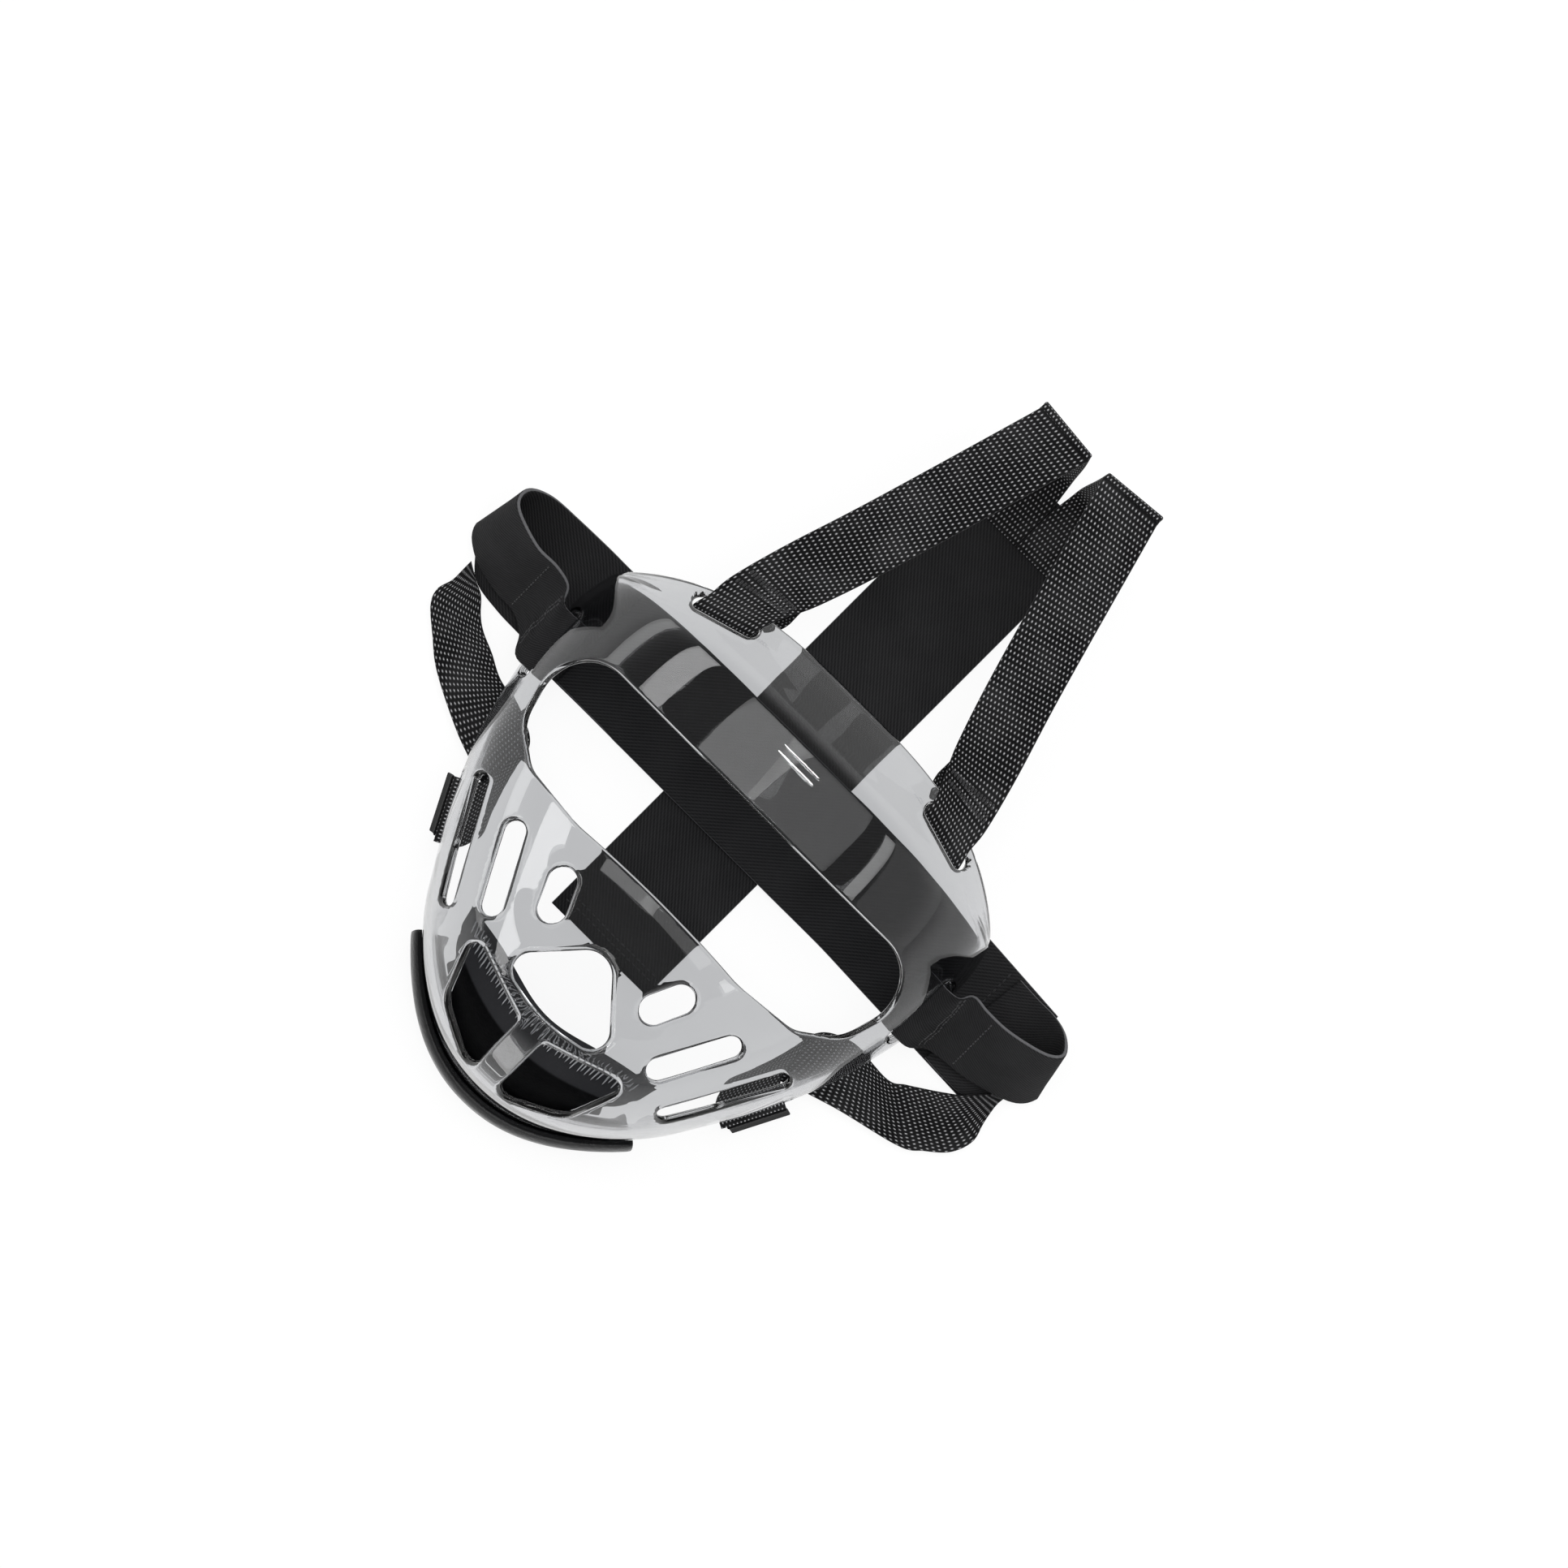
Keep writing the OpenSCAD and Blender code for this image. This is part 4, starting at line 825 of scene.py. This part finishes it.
def weave(tree, axes):
    """Height of plain webbing: rows of yarn crowns 2.1 mm apart, 1.5 mm from crown to crown, every other row half
    a step over: the positive part of cos(2 pi w/1.5) cos(pi s/2.1) to the 1.6, times cos(pi s/2.1) to the 4.4."""
    a = ridges(tree, axes.outputs["X"], 1.5, (-1200, 0))
    b = ridges(tree, axes.outputs["Y"], 4.2, (-1200, -150))
    both = add(tree, "ShaderNodeMath", (-950, -50), operation="MULTIPLY", use_clamp=True, links={0: a, 1: b})
    crowns = add(tree, "ShaderNodeMath", (-850, -50), operation="POWER", i1=1.6, links={0: both.outputs[0]})
    rows = add(tree, "ShaderNodeMath", (-950, -250), operation="MULTIPLY", links={0: b, 1: b})
    rows = add(tree, "ShaderNodeMath", (-850, -250), operation="POWER", i1=2.2, links={0: rows.outputs[0]})
    return add(tree, "ShaderNodeMath", (-750, -150), operation="MULTIPLY",
               links={0: crowns.outputs[0], 1: rows.outputs[0]}).outputs[0]


# Polyester over rubber, knitted: dull black with a fine slanting rib, some
# lint, and a painted highlight along its sides: a paler band where the rounded edges catch the light.
elastic = fabric("black knitted elastic", "131314", "2e2e2f", knit, 0.85, 0.5, "58585a")
ELASTIC_W, ELASTIC_T, HOOK_T, GAP = 50.0, 1.6, 1.2, 0.3
LAYER_Z, OVER_Z = ELASTIC_T + GAP + 0.05, ELASTIC_T + HOOK_T
flat_y = [0.0, 1.0, 0.0]

CROWN_X, CROWN_TOP, CROWN_FOOT = -3.8, 156.0, -84.5
crown, crown_cloth = ribbon("crown_elastic", [pair([CROWN_X, y, ELASTIC_T / 2], [1, 0, 0], ELASTIC_W)
                                              for y in np.linspace(CROWN_TOP, CROWN_FOOT, 13)], ELASTIC_T, elastic)
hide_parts("crown_strap")


def drape_z(x, low):
    """Underside of the back strap: over the crown strap, then down to low over 16 mm by 3t2 - 2t3."""
    t = np.clip((abs(x) - 28.8) / 16, 0, 1)
    return OVER_Z + (low - OVER_Z) * (3 * t * t - 2 * t ** 3)


back_x = list(range(-86, 137, 6))
SLIP_FROM = 55.0


def skew_y(x):
    """How far the right part of the back strap has slipped down the table: 1 mm for each 19 mm past x = 55."""
    return -max(x - SLIP_FROM, 0.0) / 19.0


def back_width(x):
    """Width of the back strap: 0.8 mm less on its peeled end, and 1 mm less for each 40 mm past x = 55."""
    return ELASTIC_W - (0.8 if x < -60 else 0) - max(x - SLIP_FROM, 0.0) / 40


back, back_cloth = ribbon("back_elastic", [
    pair([x, skew_y(x), drape_z(x, LAYER_Z if x < 0 else 0) + ELASTIC_T / 2], flat_y, back_width(x))
    for x in back_x], ELASTIC_T, elastic, body=None)
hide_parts("back_strap", "back_strap_tab")
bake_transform(back)

temple_frame = {side: wall_slot(side, 3.74, 29) for side in (-1, 1)}
jaw_frame = {side: wall_slot(side, 7, 27) for side in (-1, 1)}


def beside(slot_frame, out, up):
    """A place so far out along a slot's level direction and so far above its middle."""
    return slot_frame[0] + out * slot_frame[2] + np.array([0, 0, up])


def temple_end(side):
    """Pairs through the temple slot, down inside the wall, out under the rim and up behind the strap's own front."""
    f, run, bunched = temple_frame[side], -temple_frame[side][1], 26.0
    steps = [(0, -1.6), (-4.4, -1.4), (-7.6, -3.2), (-8.8, -7), (-7.6, -12.5), (-4.8, -18), (-1.6, -22.6),
             (0.9, -25.3), (3.4, -26.1), (6.2, -24.8)]
    return ([pair(beside(f, 5, -1) + [0, 1, 0], unit(np.array([0, 1, 0.38])), bunched + 2)]
            + [pair(beside(f, out, up), run, bunched) for out, up in steps]
            + [pair(beside(f, 7.4, -20) + [0, 1, 0], unit(np.array([0, 1, 0.2])), bunched),
               pair(beside(f, 8.6, -14) + [0, 4.5, 0], unit(np.array([0, 1, 0.5])), bunched - 1)])


def routed(side, route):
    """Edge points from (share of the loops' 50 mm reach out from the rim, y, z)."""
    route = np.array(route, float)
    return list(np.stack([side * (TEMPLE_W + 50 * route[..., 0]), route[..., 1], route[..., 2]], -1))


left_route = [[[-0.03, 25, 1.3], [-0.03, -23, 0.9]], [[0.11, 25, 3], [0.11, -22, 1]],
              [[0.39, 24.5, 11], [0.39, -21.5, 1]], [[0.61, 23.5, 24], [0.65, -19, 1]],
              [[0.72, 20.5, 37], [0.82, -10.5, 1.2]], [[0.74, 16.5, 45.5], [0.94, -4, 1.8]],
              [[0.7, 12.5, 48], [0.89, -8.5, 3.8]], [[0.59, 9.5, 48.5], [0.73, -13.4, 5]],
              [[0.38, 6.5, 47], [0.49, -16.3, 5]], [[0.2, 6.5, 43.5], [0.28, -17, 5]],
              [[0.06, 4.5, 38], [0.12, -21, 9]]]
right_route = [[[0.29, 19.5, 3.95], [0.19, -26.5, 3.95]], [[0.49, 19, 5], [0.41, -27, 3.95]],
               [[0.65, 18.8, 14], [0.61, -25.5, 4]], [[0.74, 16.5, 32], [0.81, -15.5, 3]],
               [[0.79, 11.6, 45.5], [0.99, -7, 2.4]], [[0.74, 8, 48], [0.95, -12, 4.5]],
               [[0.61, 5.4, 49], [0.81, -16.2, 8.8]], [[0.38, 3, 47.5], [0.49, -20.7, 9]],
               [[0.19, 2.6, 44], [0.26, -22, 8.5]], [[0.06, 3, 38], [0.12, -23.5, 10]]]
left_flat = [pair([x, 0, ELASTIC_T / 2], flat_y, ELASTIC_W) for x in (-52, -72, -92)]


def gathers(s, w, length):
    """Folds where the strap is drawn through its slot: two slanting cosines over the width, over its last 92 mm."""
    share = np.clip((s - (length - 92)) / 26, 0, 1) * np.clip((length - s) / 12, 0, 1)
    broad, fine = np.cos(2 * np.pi * (w / 19 + s / 140 + 0.15)), np.cos(2 * np.pi * (w / 8.3 - s / 75))
    return share * (0.26 * broad + 0.16 * fine)


left_temple, left_temple_cloth = ribbon("left_temple_elastic", left_flat + routed(-1, left_route) + temple_end(-1),
                                        ELASTIC_T, elastic, wave=gathers)
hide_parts("left_temple_strap")
right_temple, right_temple_cloth = ribbon("right_temple_elastic", routed(1, right_route) + temple_end(1),
                                          ELASTIC_T, elastic, wave=gathers)
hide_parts("right_temple_strap")


# ---------------------------------------------------------------- strap seams
# Lock stitches in black spun polyester: across the temple straps where they
# double back at their slots, and the hems at the ends of the flat straps.
black_thread = spun_thread("black polyester thread", "111112", "343436", 0.6)


def stitch_line(cloth, ends, pitch=3.0, face_side=1, broad=0.32):
    """Centres and axes of stitches from one (s, w) to another on a ribbon: bilinear on its grid of middle points,
    raised by half its thickness, 0.7 of the pitch long and twice broad wide."""
    start, stop = np.array(ends, float)
    count = max(int(np.linalg.norm(stop - start) / pitch), 2)
    share = (np.arange(count) + 0.5) / count

    def on_cloth(share_at):
        """Point and normal of the ribbon at a share of the way from start to stop."""
        s, w = (start + (stop - start) * share_at[:, None]).T
        i = np.clip(np.searchsorted(cloth["s"], s) - 1, 0, len(cloth["s"]) - 2)
        j = np.clip(np.searchsorted(cloth["w"], w) - 1, 0, len(cloth["w"]) - 2)
        a = ((s - cloth["s"][i]) / (cloth["s"][i + 1] - cloth["s"][i]))[:, None]
        b = ((w - cloth["w"][j]) / (cloth["w"][j + 1] - cloth["w"][j]))[:, None]
        m, n = cloth["mid"], cloth["n"]
        spot = (m[i, j] * (1 - a) + m[i + 1, j] * a) * (1 - b) + (m[i, j + 1] * (1 - a) + m[i + 1, j + 1] * a) * b
        return spot, unit(n[i, j])

    spot, n = on_cloth(share)
    ahead, _ = on_cloth(np.minimum(share + 0.2 / count, 1))
    run = unit(ahead - spot)
    cross_way = unit(np.cross(n, run))
    return spot + face_side * cloth["thick"] / 2 * n, np.stack([run * 0.35 * pitch, cross_way * broad, n * 0.3], 1)


def sew(name, lines, body="mask"):
    """One mesh of all the stitches of a list of stitch lines."""
    centres = np.concatenate([line[0] for line in lines])
    axes = np.concatenate([line[1] for line in lines])
    points, faces = bead_row(centres / 1000, axes, 0.001)
    thing = mesh_object(name, points, faces, black_thread, body)
    return thing


def upper_side(cloth, row):
    """Which face of a flat ribbon looks up at a row of its grid: 1 for the first, -1 for the second."""
    return 1 if cloth["n"][row, 5, 2] > 0 else -1


STITCH, INSET = 2.6, 2.5
for cloth, word in ((left_temple_cloth, "left"), (right_temple_cloth, "right")):
    near_slot = cloth["s"][-1] - 62.0
    lines = [stitch_line(cloth, [(near_slot + off, 3), (near_slot + off, cloth["w"][-1] - 3)], STITCH, side)
             for off in (0.0, 2.4, -14.0) for side in (1, -1)]
    sew(word + "_temple_strap_stitches", lines)
crown_end, back_end = crown_cloth["s"][-1], back_cloth["s"][-1]
sew("crown_strap_hem_stitches", [
    stitch_line(crown_cloth, [(at, INSET), (at, ELASTIC_W - INSET)], STITCH, upper_side(crown_cloth, 5))
    for at in (4.0, crown_end - 5.0, crown_end - 7.5)])
sew("back_strap_hem_stitches", [
    stitch_line(back_cloth, [(at, INSET), (at, 46)], STITCH, upper_side(back_cloth, -5))
    for at in (back_end - 24.0, back_end - 3.0)])


# ---------------------------------------------------------------- hook patches
# Pieces of black hook tape sewn on the elastic: a square one where the
# back strap closes on the crown strap, one at the right end.
def hooks(tree, axes):
    """Height of hook tape: a square field of small hooks, 1.6 mm apart, the positive product of two cosines."""
    a = ridges(tree, axes.outputs["X"], 1.6, (-1200, 0))
    b = ridges(tree, axes.outputs["Y"], 1.6, (-1200, -150))
    return add(tree, "ShaderNodeMath", (-950, -50), operation="MULTIPLY", use_clamp=True,
               links={0: a, 1: b}).outputs[0]


# Nylon hook tape: black, with a square field of small hooks.
hook_tape = fabric("black hook tape", "0a0a0b", "1f1f21", hooks, 0.7, 0.3, "161617")
patch_z = ELASTIC_T + HOOK_T / 2
patch, _ = ribbon("crown_hook_patch", [pair([CROWN_X, y, patch_z], [1, 0, 0], 44) for y in (22, 8, -8, -22)],
                  HOOK_T, hook_tape)
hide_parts("crown_strap_hook_patch")
patch, _ = ribbon("right_hook_patch", [pair([x, skew_y(x), patch_z], flat_y, 43) for x in (117, 124, 136)],
                  HOOK_T, hook_tape)
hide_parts("right_strap_hook_patch")


# ---------------------------------------------------------------- crown webbings
# Two 25 mm woven webbings sewn to the crown strap, folded over and led
# down to the forehead slots, through them and back up to their stitches.
# Polypropylene yarn in a plain weave: black between the yarns, and a pale
# fleck of gloss on each crown.
webbing = fabric("black woven webbing", "0b0b0c", "b0b0b2", weave, 0.6, 0.1, "202021")
WEB_W, WEB_T = 25.0, 1.5


def crown_pairs(side):
    """Edge pairs of a crown webbing, from its sewn end to the stitches behind its own front. Its steps through the
    slot are (mm out along the slot's level direction, mm up, mm of lean to the middle)."""
    c, run, level = crown_slot(side)
    f = (c + side * 1.3 * run, run, level - side * 0.58 * run * [1, 1, 0])
    low = ELASTIC_T + GAP + 0.1 + WEB_T / 2
    fold = unit(np.array([1, side * 0.087, 0]))
    front = unit(np.array([1, side * 0.3, 0]))
    top = np.array([side * 16.5 + 0.7, 163.5, 73])
    slot_top = beside(f, 12, 0.2)
    bow = np.array([side * -1.2, 0, 1.3])
    x_way = np.array([1.0, 0, 0])
    back_part = [([side * 12.4, 133, low], x_way, 24.4), ([side * 12.4, 146, low], x_way, 24.4),
                 ([side * 13, 154, low + 0.5], x_way, WEB_W), ([side * 13.8, 160, low + 3], x_way, WEB_W),
                 ([side * 14.5, 164, 14.6], x_way, WEB_W), ([side * 15.7 + 0.7, 166, 40.15], x_way, WEB_W),
                 ([side * 16.5 + 0.7, 166.8, 65], fold, WEB_W), ([side * 16.5 + 0.7, 166, 71], fold, WEB_W),
                 (top, fold, WEB_W), (top + [side * 1.6, -6, -1], fold, WEB_W),
                 (top + 0.575 * (slot_top - top) + bow, front, WEB_W),
                 (top + 0.854 * (slot_top - top) + bow / 2, unit(np.array([1, side * 0.2, 0])), WEB_W),
                 (slot_top, unit(x_way + run), WEB_W)]
    slot_steps = [(4.6, -0.4, 0), (0.4, -0.1, 0), (-1.9, -1.8, 0), (-2.3, -5, 0.3), (-0.8, -9, 1.2),
                  (1.8, -12.4, 2.2), (4.4, -14.4, 3.0), (7, -14.4, 3.3), (9.8, -11.6, 3.3)]
    slot_part = [(beside(f, out, up) - np.array([side * lean, 0, 0]), run, 24) for out, up, lean in slot_steps]
    end_part = [(beside(f, 14, -5.8) - np.array([side * 1.4, 0, 0]), unit(x_way + run), WEB_W),
                (beside(f, 19, -1.6), unit(x_way + 0.5 * run), WEB_W)]
    return [pair(*p) for p in back_part + slot_part + end_part]


WEB_PITCH, TACK_Y = 1.2, 57.0
tack_rows = ((0, 1.6), (1.0, 1.2), (3.9, -1.8), (5.2, 1.4), (6.1, 1.2))
for side, word in ((-1, "left"), (1, "right")):
    thing, cloth = ribbon(word + "_crown_strap_webbing", crown_pairs(side), WEB_T, webbing, pitch=WEB_PITCH)
    thing.visible_glossy = False
    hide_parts(word + "_crown_webbing")
    line = cloth["mid"][:, len(cloth["w"]) // 2]
    top = int(line[:, 2].argmax())
    tack = cloth["s"][top + int(np.argmax(line[top:, 1] < TACK_Y))]
    sew(word + "_crown_webbing_bar_tack", [
        stitch_line(cloth, [(tack + off, 2), (tack + off + slip, WEB_W - 2)], 1.4, upper_side(cloth, top + 20), 0.62)
        for off, slip in tack_rows])


# ---------------------------------------------------------------- jaw webbings and tabs
# The same webbing from each temple loop to the jaw slot, and the smooth
# hook-faced end of it that hangs down outside the wall.
left_jaw_route = [[[0.7, -17.5, 3.2], [0.78, -15, 3.1]], [[0.63, -19.5, 3.4], [0.78, -19, 3]],
                  [[0.54, -21.5, 5], [0.78, -25, 3]], [[0.43, -27, 6], [0.81, -31.5, 4]],
                  [[0.33, -30.5, 6], [0.76, -37.5, 4]], [[0.17, -34, 6], [0.59, -45, 4]],
                  [[-0.01, -38.5, 6], [0.37, -53.5, 4.5]]]
right_jaw_route = [[[0.73, -18.5, 7.2], [0.82, -16.5, 5.7]], [[0.68, -21, 7.2], [0.82, -20.5, 4.8]],
                   [[0.58, -26.5, 6.6], [0.85, -28, 3.5]], [[0.46, -31, 6], [0.89, -36, 4]],
                   [[0.37, -34, 6], [0.83, -44.5, 4]], [[0.23, -38.5, 6], [0.68, -51.5, 4]],
                   [[0.1, -42, 6], [0.51, -57, 4.5]]]


def jaw_end(side):
    """Pairs under the jaw rim, up inside the wall and out through the jaw slot."""
    f, run = jaw_frame[side], -jaw_frame[side][1]
    return [pair(beside(f, -1.7, -22) + 35 * run, unit(np.array([side * -0.42, 0.9, 0])), WEB_W),
            pair(beside(f, -14, -21) + 20 * run, unit(np.array([side * -0.2, 0.5, 0]) + 0.6 * run), WEB_W),
            pair(beside(f, -12, -18) + 8 * run, run, WEB_W), pair(beside(f, -9, -10) + 2 * run, run, WEB_W),
            pair(beside(f, -5.5, -1.5), run, WEB_W), pair(beside(f, -1.5, 0), run, WEB_W),
            pair(beside(f, 1.8, -1.2), run, WEB_W)]


# Smooth tape, blacker and less lively than the webbing that it is sewn to.
TAB_W = 23.0
tab_tape = fabric("smooth black hook-faced tape", "060607", "101011", knit, 0.7, 0.4, "242425")
for side, word, route in ((-1, "left", left_jaw_route), (1, "right", right_jaw_route)):
    thing, _ = ribbon(word + "_jaw_strap_webbing", routed(side, route) + jaw_end(side), WEB_T, webbing, pitch=WEB_PITCH)
    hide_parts(word + "_jaw_webbing")
    f = jaw_frame[side]
    top = beside(f, GAP + WEB_T + 0.5, -2.3) - f[1]
    foot = beside(f, 6.5, -21.3) - f[1]
    stops = (top, (top + foot) / 2 - 0.6 * f[2], foot)
    thing, _ = ribbon(word + "_jaw_strap_tab", [pair(stop, f[1], TAB_W) for stop in stops], HOOK_T, tab_tape,
                      body=word + "_jaw_tab")
    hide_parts(word + "_jaw_tab")
